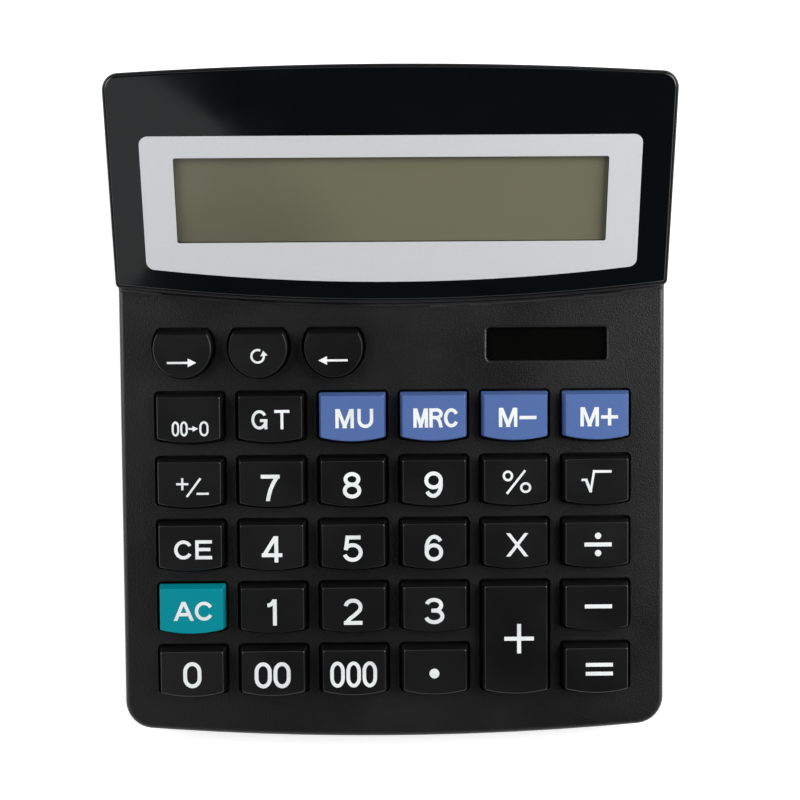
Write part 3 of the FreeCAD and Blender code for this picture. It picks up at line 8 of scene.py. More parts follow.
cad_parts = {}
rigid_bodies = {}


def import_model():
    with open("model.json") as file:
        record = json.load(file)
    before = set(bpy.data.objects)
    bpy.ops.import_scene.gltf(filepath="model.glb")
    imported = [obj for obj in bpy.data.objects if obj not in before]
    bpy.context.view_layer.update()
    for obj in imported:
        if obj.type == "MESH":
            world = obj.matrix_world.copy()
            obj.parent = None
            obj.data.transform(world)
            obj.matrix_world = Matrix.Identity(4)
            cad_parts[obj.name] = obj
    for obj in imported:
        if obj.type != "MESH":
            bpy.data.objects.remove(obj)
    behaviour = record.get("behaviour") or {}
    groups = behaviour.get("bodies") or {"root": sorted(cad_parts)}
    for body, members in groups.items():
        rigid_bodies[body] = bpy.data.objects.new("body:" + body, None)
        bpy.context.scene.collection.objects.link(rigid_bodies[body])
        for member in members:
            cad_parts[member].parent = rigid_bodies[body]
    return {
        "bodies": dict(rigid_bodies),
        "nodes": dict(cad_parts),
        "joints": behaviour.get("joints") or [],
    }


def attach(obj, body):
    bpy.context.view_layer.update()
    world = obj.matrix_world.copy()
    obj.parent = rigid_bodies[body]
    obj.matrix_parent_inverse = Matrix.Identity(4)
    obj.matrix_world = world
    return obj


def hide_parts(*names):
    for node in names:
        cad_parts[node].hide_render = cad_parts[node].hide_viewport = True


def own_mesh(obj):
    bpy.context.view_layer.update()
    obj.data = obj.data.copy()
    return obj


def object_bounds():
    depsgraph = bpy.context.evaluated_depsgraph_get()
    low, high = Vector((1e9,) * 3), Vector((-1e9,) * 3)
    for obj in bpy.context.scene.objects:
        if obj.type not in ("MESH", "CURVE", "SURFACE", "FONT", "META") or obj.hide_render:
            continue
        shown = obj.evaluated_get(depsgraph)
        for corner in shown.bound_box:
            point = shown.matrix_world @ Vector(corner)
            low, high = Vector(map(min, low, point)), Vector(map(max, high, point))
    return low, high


# Finishes, key legends and studio of a desk calculator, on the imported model.
# Metres, in the model's own frame: +X right, +Y to the display, +Z up from the desk.

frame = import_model()
CAD_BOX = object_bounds()

bl_info = {
    "name": "Desk Calculator",
    "version": (1, 0, 0),
    "blender": (4, 5, 0),
    "location": "View3D > Sidebar > Calculator",
    "description": "Finishes, key legends and studio of a desk calculator",
    "category": "Object",
}

MM = 0.001
KEYS = [body for body in frame["bodies"] if body.startswith("key_")]
BLUE_KEYS = ["key_markup", "key_memory_recall", "key_memory_minus", "key_memory_plus"]
TEAL_KEYS = ["key_all_clear"]
PRESS = next(Vector(joint["axis"]) for joint in frame["joints"] if joint["child"] == KEYS[0])
DECK_NORMAL = -PRESS
DECK_TILT = math.atan2(-DECK_NORMAL.y, DECK_NORMAL.z)
LEVEL = Matrix.Rotation(-DECK_TILT, 3, "X")
# Points nearer than this are one point, and faces nearer than this are on one level
SAME_PLACE = 1e-6

# How far each legend is printed off the middle of its key, in millimetres
DIGIT_SHIFT = (-0.2, -0.45)
LETTER_SHIFT = (0.6, 0.05)
SHIFTS = {
    "key_review_next": (-0.1, -1.9), "key_replay": (0, -0.2), "key_review_back": (-0.1, -1.5),
    "key_backspace": (0.5, -2.5), "key_grand_total": (0.05, -0.1),
    **dict.fromkeys(BLUE_KEYS, LETTER_SHIFT),
    "key_sign": (0.9, -0.7), "key_percent": (0.3, 0.1), "key_root": (-0.1, 0.1),
    "key_clear_entry": (0.8, -0.4), "key_all_clear": (0.7, 0.1),
    "key_times": (0.4, 0.25), "key_divide": (0.3, 0.15), "key_minus": (0.4, 0.45),
    "key_equals": (0.7, 0.4), "key_plus": (0.85, 0.4), "key_point": (-0.25, -0.4),
    "key_7": (-0.2, -1.0), "key_4": (0.05, -0.45), "key_0": (0.05, -0.2),
}
# Signs whose strokes are cut level at the top and bottom, and their heights
CUT_SIGNS = {"key_times": 6.6 * MM}
# The cutting box's other sides and the reach at which the print's points are merged, in millimetres
CUT_BOX_SIDE = 30
PRINT_MERGE = 0.001
# Curves of the print: the turn of one step in degrees, the fewest steps, and the steps of a sweep
ARC_STEP = 9
FEWEST_ARC_STEPS = 4
SWEEP_STEPS = 8

# The part of a noise's range that a finish uses
NOISE_LOW, NOISE_HIGH = 0.3, 0.7
# Broad clouds on grained plastic: their size in grains, and how far they change the roughness
CLOUD_GRAINS = 60
CLOUD_ROUGHNESS = 0.05
# How fast painted light makes the display lighter to the right, where the light falls stronger, in
# shares of its noise a metre
DISPLAY_PAINTED_LIGHT = 4.0
# Height of a key's top over the deck, and the depth below the deck over which painted shade darkens
# its skirt, standing in for the shadow in its hole
KEY_RISE = 3.9 * MM
SKIRT_SHADE_FADE = 0.4 * MM
# Near-black colour of the painted shade on the key skirts
PAINTED_SKIRT_SHADE = (0.002, 0.002, 0.002)
DOME_HEIGHT = 2.8 * MM
FLOOR_WIDTH = 12


class CalculatorColours(bpy.types.PropertyGroup):
    """Colours of the visible finishes"""

    case: FloatVectorProperty(
        name="Case", description="Grained black plastic of the case",
        default=(0.0024, 0.0024, 0.0026), subtype="COLOR", min=0, max=1)
    key: FloatVectorProperty(
        name="Key", description="Satin black plastic of most keys",
        default=(0.0036, 0.0036, 0.0039), subtype="COLOR", min=0, max=1)
    blue: FloatVectorProperty(
        name="Blue key", description="Satin blue plastic of the memory keys",
        default=(0.088, 0.158, 0.398), subtype="COLOR", min=0, max=1)
    teal: FloatVectorProperty(
        name="Teal key", description="Satin teal plastic of the clear key",
        default=(0.0001, 0.268, 0.326), subtype="COLOR", min=0, max=1)
    gloss: FloatVectorProperty(
        name="Hood panel", description="Polished black plastic of the hood panel",
        default=(0.0030, 0.0040, 0.0049), subtype="COLOR", min=0, max=1)
    silver: FloatVectorProperty(
        name="Frame", description="Silver paint of the display frame",
        default=(0.722, 0.736, 0.757), subtype="COLOR", min=0, max=1)
    display: FloatVectorProperty(
        name="Display", description="Grey-green polariser of the display",
        default=(0.192, 0.186, 0.120), subtype="COLOR", min=0, max=1)
    solar: FloatVectorProperty(
        name="Solar cell", description="Dark film of the solar cell",
        default=(0.0016, 0.0014, 0.0012), subtype="COLOR", min=0, max=1)
    legend: FloatVectorProperty(
        name="Legend", description="White print on the keys",
        default=(0.868, 0.900, 0.918), subtype="COLOR", min=0, max=1)


class CalculatorLegends(bpy.types.PropertyGroup):
    """Sizes of the print on the keys"""

    digit_height: FloatProperty(
        name="Digit height", description="Height of the digits on their keys",
        default=7.45 * MM, unit="LENGTH", precision=5)
    digit_weight: FloatProperty(
        name="Digit weight", description="Stroke of the digits",
        default=1.09 * MM, unit="LENGTH", precision=5)
    letter_height: FloatProperty(
        name="Letter height", description="Height of the letters",
        default=5.40 * MM, unit="LENGTH", precision=5)
    letter_weight: FloatProperty(
        name="Letter weight", description="Stroke of the letters",
        default=0.95 * MM, unit="LENGTH", precision=5)
    sign_weight: FloatProperty(
        name="Sign weight", description="Stroke of the operator signs",
        default=1.13 * MM, unit="LENGTH", precision=5)
    fine_weight: FloatProperty(
        name="Fine weight", description="Stroke of the small signs",
        default=0.60 * MM, unit="LENGTH", precision=5)
    film: FloatProperty(
        name="Film", description="Thickness of the print",
        default=0.03 * MM, unit="LENGTH", precision=6)


class CalculatorStudio(bpy.types.PropertyGroup):
    """Camera, lamps, cards and floor"""

    camera_place: FloatVectorProperty(
        name="Camera place", description="Where the camera stands",
        default=(-0.00244, -0.00830, 0.43160), subtype="TRANSLATION", unit="LENGTH")
    camera_turn: FloatVectorProperty(
        name="Camera turn", description="How the camera is turned from looking straight down",
        default=(math.radians(1.698), math.radians(-0.612), math.radians(-0.450)),
        subtype="EULER", unit="ROTATION")
    lens: FloatProperty(
        name="Lens", description="Focal length in millimetres on a 36 mm sensor", default=65.25)
    left_place: FloatVectorProperty(
        name="Left lamp place", description="Middle of the left lamp",
        default=(-0.62, 0.15, 0.50), subtype="TRANSLATION", unit="LENGTH")
    left_size: FloatProperty(
        name="Left lamp size", description="Width of the left lamp", default=0.50, unit="LENGTH")
    left_power: FloatProperty(
        name="Left lamp", description="Power of the left lamp in watts", default=3.9)
    right_place: FloatVectorProperty(
        name="Right lamp place", description="Middle of the right lamp",
        default=(0.50, 0.15, 0.41), subtype="TRANSLATION", unit="LENGTH")
    right_size: FloatProperty(
        name="Right lamp size", description="Width of the right lamp", default=0.55, unit="LENGTH")
    right_power: FloatProperty(
        name="Right lamp", description="Power of the right lamp in watts", default=5.2)
    sky: FloatProperty(
        name="Fill", description="Strength of the even light from all round", default=0.10)
    floor: FloatVectorProperty(
        name="Floor", description="Pale floor",
        default=(0.86, 0.86, 0.86), subtype="COLOR", min=0, max=1)
    floor_glow: FloatProperty(
        name="Floor glow", description="Light that the floor adds towards the camera, up to white",
        default=0.60)
    card_place: FloatVectorProperty(
        name="Card place", description="Middle of the soft card that shows in the left of the hood",
        default=(-0.47, -0.48, 0.87), subtype="TRANSLATION", unit="LENGTH")
    card_size: FloatProperty(
        name="Card size", description="Width of the soft card", default=0.5, unit="LENGTH")
    card_power: FloatProperty(
        name="Card", description="Power of the soft card in watts, seen only in gloss",
        default=0.55)
    canopy_width: FloatProperty(
        name="Canopy width", description="Width of the black card overhead, seen only in gloss",
        default=4.2, unit="LENGTH")
    canopy_height: FloatProperty(
        name="Canopy height", description="Height of the black card overhead",
        default=1.3, unit="LENGTH")


def start_finish(name, colour, roughness, shine=0.5):
    """A material with one shader, its plain values on the shader's own sockets."""
    material = bpy.data.materials.new(name)
    material.use_nodes = True
    shader = material.node_tree.nodes["Principled BSDF"]
    shader.inputs["Base Color"].default_value = (*colour, 1)
    shader.inputs["Roughness"].default_value = roughness
    shader.inputs["Specular IOR Level"].default_value = shine
    return material, shader


def object_noise(material, size, detail=2.0, stretch=(1, 1, 1)):
    """Noise with features of a size in metres on the object's own coordinates."""
    tree = material.node_tree
    place = tree.nodes.new("ShaderNodeTexCoord")
    mapping = tree.nodes.new("ShaderNodeMapping")
    mapping.inputs["Scale"].default_value = stretch
    noise = tree.nodes.new("ShaderNodeTexNoise")
    noise.inputs["Scale"].default_value = 1 / size
    noise.inputs["Detail"].default_value = detail
    tree.links.new(place.outputs["Object"], mapping.inputs["Vector"])
    tree.links.new(mapping.outputs["Vector"], noise.inputs["Vector"])
    return noise.outputs["Fac"]


def spread_colour(material, shader, source, colour, spread):
    """Varies the shader's colour from darker to lighter by a share, as a noise goes."""
    tree = material.node_tree
    ramp = tree.nodes.new("ShaderNodeValToRGB")
    stops = [(NOISE_LOW, 1 - spread), (NOISE_HIGH, 1 + spread)]
    for element, (position, share) in zip(ramp.color_ramp.elements, stops):
        element.position = position
        element.color = (*(min(1, part * share) for part in colour), 1)
    tree.links.new(source, ramp.inputs["Fac"])
    tree.links.new(ramp.outputs["Color"], shader.inputs["Base Color"])


def spread_roughness(material, shader, source, low, high):
    """Varies the shader's roughness between two values, as a noise goes."""
    tree = material.node_tree
    mapped = tree.nodes.new("ShaderNodeMapRange")
    mapped.inputs["From Min"].default_value = NOISE_LOW
    mapped.inputs["From Max"].default_value = NOISE_HIGH
    mapped.inputs["To Min"].default_value = low
    mapped.inputs["To Max"].default_value = high
    tree.links.new(source, mapped.inputs["Value"])
    tree.links.new(mapped.outputs["Result"], shader.inputs["Roughness"])


def add_bump(material, shader, source, depth):
    """Raises the surface by up to a depth in metres, as a noise goes."""
    tree = material.node_tree
    bump = tree.nodes.new("ShaderNodeBump")
    bump.inputs["Distance"].default_value = depth
    tree.links.new(source, bump.inputs["Height"])
    tree.links.new(bump.outputs["Normal"], shader.inputs["Normal"])


def grained_plastic(name, colour, roughness, shine, grain, depth, spread):
    """Moulded plastic with a fine etched grain, a little smoother and rougher in broad clouds."""
    material, shader = start_finish(name, colour, roughness, shine)
    noise = object_noise(material, grain)
    spread_colour(material, shader, noise, colour, spread)
    add_bump(material, shader, noise, depth)
    cloud = object_noise(material, CLOUD_GRAINS * grain)
    spread_roughness(
        material, shader, cloud, low=roughness - CLOUD_ROUGHNESS, high=roughness + CLOUD_ROUGHNESS)
    return material


def paint_skirt_shade(material, shader, deck_level):
    """Paints shade into the colour below a level along the deck's normal, where the key's skirt
    lies in the shadow of its hole.
    """
    tree = material.node_tree
    place = tree.nodes.new("ShaderNodeTexCoord")
    level = tree.nodes.new("ShaderNodeVectorMath")
    level.operation = "DOT_PRODUCT"
    level.inputs[1].default_value = DECK_NORMAL
    depth = tree.nodes.new("ShaderNodeMapRange")
    depth.inputs["From Min"].default_value = deck_level - SKIRT_SHADE_FADE
    depth.inputs["From Max"].default_value = deck_level
    shade = tree.nodes.new("ShaderNodeMix")
    shade.data_type = "RGBA"
    shade.inputs["A"].default_value = (*PAINTED_SKIRT_SHADE, 1)
    socket = shader.inputs["Base Color"]
    tree.links.new(place.outputs["Object"], level.inputs[0])
    tree.links.new(level.outputs["Value"], depth.inputs["Value"])
    tree.links.new(depth.outputs["Result"], shade.inputs["Factor"])
    tree.links.new(socket.links[0].from_socket, shade.inputs["B"])
    tree.links.new(shade.outputs["Result"], socket)


def polished_plastic(name, colour):
    """Polished black plastic with faint smudges."""
    material, shader = start_finish(name, colour, roughness=0.07)
    smudge = object_noise(material, size=18 * MM, detail=4.0)
    spread_roughness(material, shader, smudge, low=0.05, high=0.10)
    spread_colour(material, shader, smudge, colour, spread=0.15)
    return material


def silver_paint(name, colour):
    """Fine silver paint with a soft flake."""
    material, shader = start_finish(name, colour, roughness=0.42)
    shader.inputs["Metallic"].default_value = 0.15
    flake = object_noise(material, size=0.35 * MM)
    spread_colour(material, shader, flake, colour, spread=0.03)
    spread_roughness(material, shader, flake, low=0.36, high=0.48)
    return material


def clear_pane(name, alpha):
    """Thin clear acrylic with faint smudges."""
    material, shader = start_finish(name, colour=(0.02, 0.02, 0.02), roughness=0.04)
    shader.inputs["Alpha"].default_value = alpha
    smudge = object_noise(material, size=20 * MM, detail=3.0)
    spread_roughness(material, shader, smudge, low=0.03, high=0.06)
    return material


def display_film(name, colour):
    """Grey-green polariser under a gloss coat, with painted light that makes it a little lighter to
    the right.
    """
    material, shader = start_finish(name, colour, roughness=0.30)
    shader.inputs["Coat Weight"].default_value = 0.6
    shader.inputs["Coat Roughness"].default_value = 0.06
    tree = material.node_tree
    place = tree.nodes.new("ShaderNodeTexCoord")
    across = tree.nodes.new("ShaderNodeSeparateXYZ")
    cloud = object_noise(material, size=45 * MM, detail=0.0)
    # Painted light: the colour is raised along X, lighter to the right where the light falls
    # stronger
    painted_light = tree.nodes.new("ShaderNodeMath")
    painted_light.operation = "MULTIPLY_ADD"
    painted_light.inputs[1].default_value = DISPLAY_PAINTED_LIGHT
    tree.links.new(place.outputs["Object"], across.inputs["Vector"])
    tree.links.new(across.outputs["X"], painted_light.inputs[0])
    tree.links.new(cloud, painted_light.inputs[2])
    spread_colour(material, shader, painted_light.outputs["Value"], colour, spread=0.16)
    return material


def solar_film(name, colour):
    """Dark amorphous film, a little uneven along its strips."""
    material, shader = start_finish(name, colour, roughness=0.12, shine=0.30)
    shade = object_noise(material, size=6 * MM, stretch=(1, 0.2, 1))
    spread_colour(material, shader, shade, colour, spread=0.35)
    return material


def plain_grain(name, colour, roughness, size, metallic=0.0, depth=0.0):
    """An even finish with a faint variation, raised by a depth where one is given."""
    material, shader = start_finish(name, colour, roughness)
    shader.inputs["Metallic"].default_value = metallic
    noise = object_noise(material, size)
    spread_colour(material, shader, noise, colour, spread=0.12)
    if depth:
        add_bump(material, shader, noise, depth)
    return material


def dress(nodes, material):
    """Gives CAD nodes a material."""
    for node in nodes:
        mesh = frame["nodes"][node].data
        mesh.materials.clear()
        mesh.materials.append(material)


def arc(x, y, across, up, start, end):
    """Points on an ellipse from one angle to another, in degrees."""
    steps = max(FEWEST_ARC_STEPS, round(abs(end - start) / ARC_STEP))
    angles = [math.radians(start + (end - start) * step / steps) for step in range(steps + 1)]
    return [(x + across * math.cos(angle), y + up * math.sin(angle)) for angle in angles]


def sweep(first, middle, last):
    """Points on a smooth curve that leaves first towards middle and reaches last from it."""
    points = []
    for step in range(SWEEP_STEPS + 1):
        part = step / SWEEP_STEPS
        pulls = [((1 - part) ** 2, first), (2 * part * (1 - part), middle), (part ** 2, last)]
        points.append(tuple(sum(pull * spot[axis] for pull, spot in pulls) for axis in (0, 1)))
    return points


def turned(strokes):
    """Strokes turned half round in their box."""
    return [[(1 - x, 1 - y) for x, y in stroke] for stroke in strokes]


SIX = [
    arc(0.5, 0.31, 0.5, 0.31, 0, 360),
    [(0, 0.31)] + arc(0.53, 0.5, 0.53, 0.5, 180, 38),
]
# Each glyph: its width as a share of its height, and the middle lines of its strokes
# in a box of one by one
GLYPHS = {
    "0": (0.69, [arc(0.5, 0.64, 0.5, 0.36, 0, 180) + arc(0.5, 0.36, 0.5, 0.36, 180, 360)
                 + [(1, 0.64)]]),
    "1": (0.37, [[(1, -0.2), (1, 1.2)], sweep((-0.25, 0.82), (0.55, 0.82), (0.9, 1.06))]),
    "2": (0.71, [arc(0.5, 0.71, 0.5, 0.29, 170, -30) + sweep((0.9, 0.53), (0.65, 0.36), (0.3, 0.2))
                 + [(0.02, 0.0)], [(-0.12, 0), (1.12, 0)]]),
    "3": (0.76, [arc(0.48, 0.755, 0.45, 0.245, 165, -90), arc(0.5, 0.265, 0.5, 0.265, 90, -168),
                 [(0.32, 0.52), (0.55, 0.52)]]),
    "4": (0.77, [[(0.76, -0.2), (0.76, 1.2)], [(-0.12, 0.24), (1.12, 0.24)],
                 [(0.02, 0.24), (0.80, 1.153)]]),
    "5": (0.76, [[(0.1, 1), (1.0, 1)], [(0.22, 1.17), (0.09, 0.44)],
                 arc(0.5, 0.33, 0.5, 0.33, 152, -163)]),
    "6": (0.695, SIX),
    "7": (0.72, [[(-0.12, 1), (1.12, 1)], sweep((1.0, 1.02), (0.42, 0.52), (0.31, -0.2))]),
    "8": (0.695, [arc(0.5, 0.765, 0.44, 0.235, 0, 360), arc(0.5, 0.265, 0.5, 0.265, 0, 360)]),
    "9": (0.695, turned(SIX)),
    "A": (1.00, [[(-0.045, -0.15), (0.515, 1.15)], [(1.045, -0.15), (0.485, 1.15)],
                 [(0.2, 0.29), (0.8, 0.29)]]),
    "C": (0.96, [arc(0.5, 0.5, 0.5, 0.5, 30, 330)]),
    "E": (0.87, [[(0, -0.12), (0, 1.12)], [(0, 0), (1.12, 0)], [(0, 0.52), (1.0, 0.52)],
                 [(0, 1), (1.12, 1)]]),
    "G": (0.82, [arc(0.5, 0.5, 0.5, 0.5, 32, 345), [(0.55, 0.45), (1.12, 0.45)],
                 [(1, 0.45), (1, -0.08)]]),
    "M": (0.96, [[(0, -0.2), (0, 1.2)], [(1, -0.2), (1, 1.2)], [(0.02, 1.2), (0.56, -0.15)],
                 [(0.98, 1.2), (0.44, -0.15)]]),
    "R": (0.87, [[(0, -0.12), (0, 1.12)],
                 [(0, 1)] + arc(0.58, 0.76, 0.42, 0.24, 90, -90) + [(0, 0.52)],
                 sweep((0.5, 0.5), (0.92, 0.44), (1.0, -0.2))]),
    "T": (0.78, [[(-0.12, 1), (1.12, 1)], [(0.5, -0.12), (0.5, 1)]]),
    "U": (0.82, [[(0, 1.12)] + arc(0.5, 0.4, 0.5, 0.4, 180, 360) + [(1, 1.12)]]),
    "+": (0.89, [[(-0.12, 0.48), (1.12, 0.48)], [(0.5, -0.06), (0.5, 1.02)]]),
    "-": (0.89, [[(-0.12, 0.48), (1.12, 0.48)]]),
}


def write_word(text, height, weight, gap, squeeze=1.0, middle=(0, 0)):
    """Strokes of a word about its middle: lists of points and the weight of each."""
    widths = [GLYPHS[sign][0] * height * squeeze for sign in text]
    left = middle[0] - (sum(widths) + gap * (len(text) - 1)) / 2
    foot = middle[1] - height / 2
    strokes = []
    for sign, width in zip(text, widths):
        for points in GLYPHS[sign][1]:
            spots = [(left + weight / 2 + x * (width - weight),
                      foot + weight / 2 + y * (height - weight)) for x, y in points]
            strokes.append((spots, (weight, weight)))
        left += width + gap
    return strokes


def bar(start, end, weight):
    """A straight stroke."""
    return [start, end], (weight, weight)


def dot(x, y, radius):
    """A filled disc, drawn as a straight stroke whose weight swells and fades."""
    rim = arc(0, 0, radius, radius, 180, 0)
    return [(x + along, y) for along, _ in rim], [2 * max(half, 0) for _, half in rim]


def arrow(tail, tip, weight, head):
    """A straight arrow with a filled head."""
    start, end = Vector(tail), Vector(tip)
    along = (end - start).normalized()
    neck = end - along * head
    return [bar(tuple(start), tuple(neck), weight), ([tuple(neck), tuple(end)], (head, 0))]


def plus_sign(reach, weight, x=0, y=0):
    """A plus about a point."""
    return [bar((x - reach, y), (x + reach, y), weight),
            bar((x, y - reach), (x, y + reach), weight)]


def sign_strokes(sizes):
    """Strokes of the operator signs and arrows, by key."""
    bold, fine = sizes.sign_weight, sizes.fine_weight
    small = 0.66 * MM
    reach, plus_reach = 3.85 * MM, 4.2 * MM
    equals_rise, equals_weight = 1.27 * MM, bold * 0.96
    times_reach, times_rise, times_weight = 2.95 * MM, 3.8 * MM, bold * 0.78
    divide_rise, divide_dot, point_dot = 2.45 * MM, 0.9 * MM, 1.40 * MM
    zero_height, zero_weight = 4.2 * MM, 0.55 * MM
    zeros = write_word("00", zero_height, zero_weight, 0.3 * MM, 0.72, (-2.93 * MM, 0))
    zero = write_word("0", zero_height, zero_weight, 0, 0.88, (3.85 * MM, 0))
    zero_arrow = arrow((-0.50 * MM, 0), (2.25 * MM, 0), 0.5 * MM, 1.6 * MM)
    review_reach, review_head = 4.1 * MM, 2.4 * MM
    loop_radius = 1.75 * MM
    loop = (arc(0, 0, loop_radius, loop_radius, 65, 365), (fine, fine))
    loop_tip = ([(loop_radius, 0.1 * MM), (loop_radius - 0.2 * MM, 1.55 * MM)], (2.0 * MM, 0))
    return {
        "key_plus": plus_sign(plus_reach, bold),
        "key_minus": [bar((-reach, 0), (reach, 0), bold)],
        "key_equals": [bar((-reach, y), (reach, y), equals_weight)
                       for y in (-equals_rise, equals_rise)],
        "key_times": [bar((-times_reach, side * times_rise), (times_reach, -side * times_rise),
                          times_weight) for side in (-1, 1)],
        "key_divide": [bar((-reach, 0), (reach, 0), bold), dot(0, divide_rise, divide_dot),
                       dot(0, -divide_rise, divide_dot)],
        "key_point": [dot(0, 0, point_dot)],
        "key_percent": [(arc(-2.5 * MM, 1.75 * MM, 1.15 * MM, 1.2 * MM, 0, 360), (small, small)),
                        (arc(2.5 * MM, -1.6 * MM, 1.25 * MM, 1.2 * MM, 0, 360), (small, small)),
                        bar((-2.8 * MM, -3.3 * MM), (2.4 * MM, 3.3 * MM), small)],
        "key_root": [bar((-4.3 * MM, 0.45 * MM), (-2.85 * MM, 0.45 * MM), small),
                     bar((-3.1 * MM, 0.75 * MM), (-1.65 * MM, -3.0 * MM), 0.80 * MM),
                     bar((-1.75 * MM, -3.1 * MM), (-0.7 * MM, 3.2 * MM), small),
                     bar((-0.95 * MM, 2.8 * MM), (4.2 * MM, 2.8 * MM), 0.74 * MM)],
        "key_sign": [*plus_sign(1.7 * MM, fine, -2.85 * MM, 0.95 * MM),
                     bar((-1.65 * MM, -2.65 * MM), (2.25 * MM, 2.55 * MM), fine),
                     bar((1.1 * MM, -1.8 * MM), (4.55 * MM, -1.8 * MM), fine)],
        "key_backspace": [*zeros, *zero_arrow, *zero],
        "key_review_next": arrow((-review_reach, 0), (review_reach, 0), fine, review_head),
        "key_review_back": arrow((review_reach, 0), (-review_reach, 0), fine, review_head),
        "key_replay": [loop, loop_tip],
    }


def word_strokes(sizes):
    """Strokes of the digits and letters and their height, by key."""
    digit_weight, letter_weight = sizes.digit_weight, sizes.letter_weight
    # Text, weight, gap and squeeze of each word
    digits = {f"key_{digit}": (digit, digit_weight, 0, 1) for digit in "0123456789"}
    digits["key_00"] = ("00", digit_weight, 0.5 * MM, 0.94)
    digits["key_000"] = ("000", 1.02 * MM, 0.45 * MM, 0.8)
    letters = {
        "key_grand_total": ("GT", 0.80 * MM, 2.0 * MM, 1),
        "key_markup": ("MU", letter_weight, 1.0 * MM, 1),
        "key_memory_recall": ("MRC", letter_weight, 0.35 * MM, 0.8),
        "key_memory_minus": ("M-", letter_weight, 0.6 * MM, 1),
        "key_memory_plus": ("M+", letter_weight, 0.6 * MM, 1),
        "key_clear_entry": ("CE", letter_weight, 0.75 * MM, 1),
        "key_all_clear": ("AC", letter_weight, 0.45 * MM, 1),
    }
    legends = {}
    for height, words in ((sizes.digit_height, digits), (sizes.letter_height, letters)):
        for key, (text, weight, gap, squeeze) in words.items():
            legends[key] = write_word(text, height, weight, gap, squeeze), height
    return legends


def key_top(key):
    """Middle of a key's top face, in the model's frame."""
    spots = [vertex.co for vertex in frame["nodes"][key].data.vertices]
    top = max(spot.dot(DECK_NORMAL) for spot in spots)
    face = [LEVEL @ spot for spot in spots if spot.dot(DECK_NORMAL) > top - SAME_PLACE]
    low, high = Vector(map(min, *face)), Vector(map(max, *face))
    return LEVEL.inverted() @ ((low + high) / 2)


def stroke_path(name, strokes):
    """A flat curve object in millimetres, one path a stroke, with its weight as the points' radius.

    A stroke's weights are one for each point, or the first and the last.
    """
    bpy.ops.object.select_all(action="DESELECT")
    bpy.ops.curve.primitive_bezier_curve_add()
    path = bpy.context.object
    path.name = name
    path.data.dimensions = "2D"
    path.data.fill_mode = "NONE"
    path.data.splines.clear()
    for points, weights in strokes:
        first, last = weights[0], weights[-1]
        if len(weights) != len(points):
            weights = [first + (last - first) * index / (len(points) - 1)
                       for index in range(len(points))]
        spline = path.data.splines.new("POLY")
        closed = math.dist(points[0], points[-1]) < SAME_PLACE
        spline.use_cyclic_u = closed
        spots = points[:-1] if closed else points
        spline.points.add(len(spots) - 1)
        for point, (x, y), weight in zip(spline.points, spots, weights):
            point.co = (x / MM, y / MM, 0, 1)
            point.radius = weight / MM
    return path


def print_legend(key, strokes, ink_height, film, nib, material):
    """Prints strokes on the top of a key as a thin white film that moves with the key.

    Where an ink height is given, the strokes are cut level at the top and bottom.
    """
    print_piece = stroke_path(f"legend_{key}", strokes)
    print_piece.data.bevel_mode = "OBJECT"
    print_piece.data.bevel_object = nib
    bpy.ops.object.convert(target="MESH")
    bpy.ops.object.mode_set(mode="EDIT")
    bpy.ops.mesh.select_all(action="SELECT")
    bpy.ops.mesh.remove_doubles(threshold=PRINT_MERGE)
    bpy.ops.mesh.extrude_region_move(TRANSFORM_OT_translate={"value": (0, 0, film / MM)})
    bpy.ops.mesh.select_all(action="SELECT")
    bpy.ops.mesh.normals_make_consistent(inside=False)
    bpy.ops.mesh.intersect_boolean(operation="UNION", use_self=True, solver="EXACT")
    if ink_height:
        bpy.ops.mesh.select_all(action="DESELECT")
        cut_box = (CUT_BOX_SIDE, ink_height / MM, CUT_BOX_SIDE)
        bpy.ops.mesh.primitive_cube_add(size=1, scale=cut_box)
        bpy.ops.mesh.intersect_boolean(operation="INTERSECT", solver="EXACT")
    bpy.ops.object.mode_set(mode="OBJECT")
    bpy.ops.object.shade_flat()
    print_piece.scale = (MM, MM, MM)
    print_piece.rotation_euler = (DECK_TILT, 0, 0)
    shift = Vector((*SHIFTS.get(key, DIGIT_SHIFT), 0)) * MM
    print_piece.location = key_top(key) + LEVEL.inverted() @ shift
    bpy.ops.object.transform_apply(location=True, rotation=True, scale=True)
    print_piece.data.materials.clear()
    print_piece.data.materials.append(material)
    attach(print_piece, key)


class CALCULATOR_OT_finish_case(bpy.types.Operator):
    """Grained plastic on the shells and the battery door, rubber on the feet, zinc on the screws"""

    bl_idname = "calculator.finish_case"
    bl_label = "Finish Case"

    def execute(self, context):
        colours = context.scene.calculator_colours
        plastic = grained_plastic(
            "grained_case", colours.case, roughness=0.40, shine=0.50,
            grain=0.42 * MM, depth=0.09 * MM, spread=0.25)
        rubber = plain_grain(
            "foot_rubber", (0.012, 0.012, 0.012), roughness=0.8, size=0.5 * MM, depth=0.02 * MM)
        zinc = plain_grain(
            "zinc_screw", (0.55, 0.55, 0.56), roughness=0.35, size=0.6 * MM, metallic=1.0)
        dress(["top_case", "bottom_case", "battery_door"], plastic)
        dress(["rubber_feet"], rubber)
        dress(["case_screws", "board_screws"], zinc)
        return {"FINISHED"}


class CALCULATOR_OT_finish_hood(bpy.types.Operator):
    """Polished panel, silver frame, clear panes, grey-green display and dark solar cell"""

    bl_idname = "calculator.finish_hood"
    bl_label = "Finish Hood"

    def execute(self, context):
        colours = context.scene.calculator_colours
        dress(["hood_panel"], polished_plastic("polished_panel", colours.gloss))
        dress(["display_bezel"], silver_paint("silver_frame", colours.silver))
        dress(["display_window", "solar_window"], clear_pane("clear_pane", alpha=0.06))
        dress(["lcd_glass"], display_film("display_film", colours.display))
        dress(["solar_cell"], solar_film("solar_film", colours.solar))
        return {"FINISHED"}


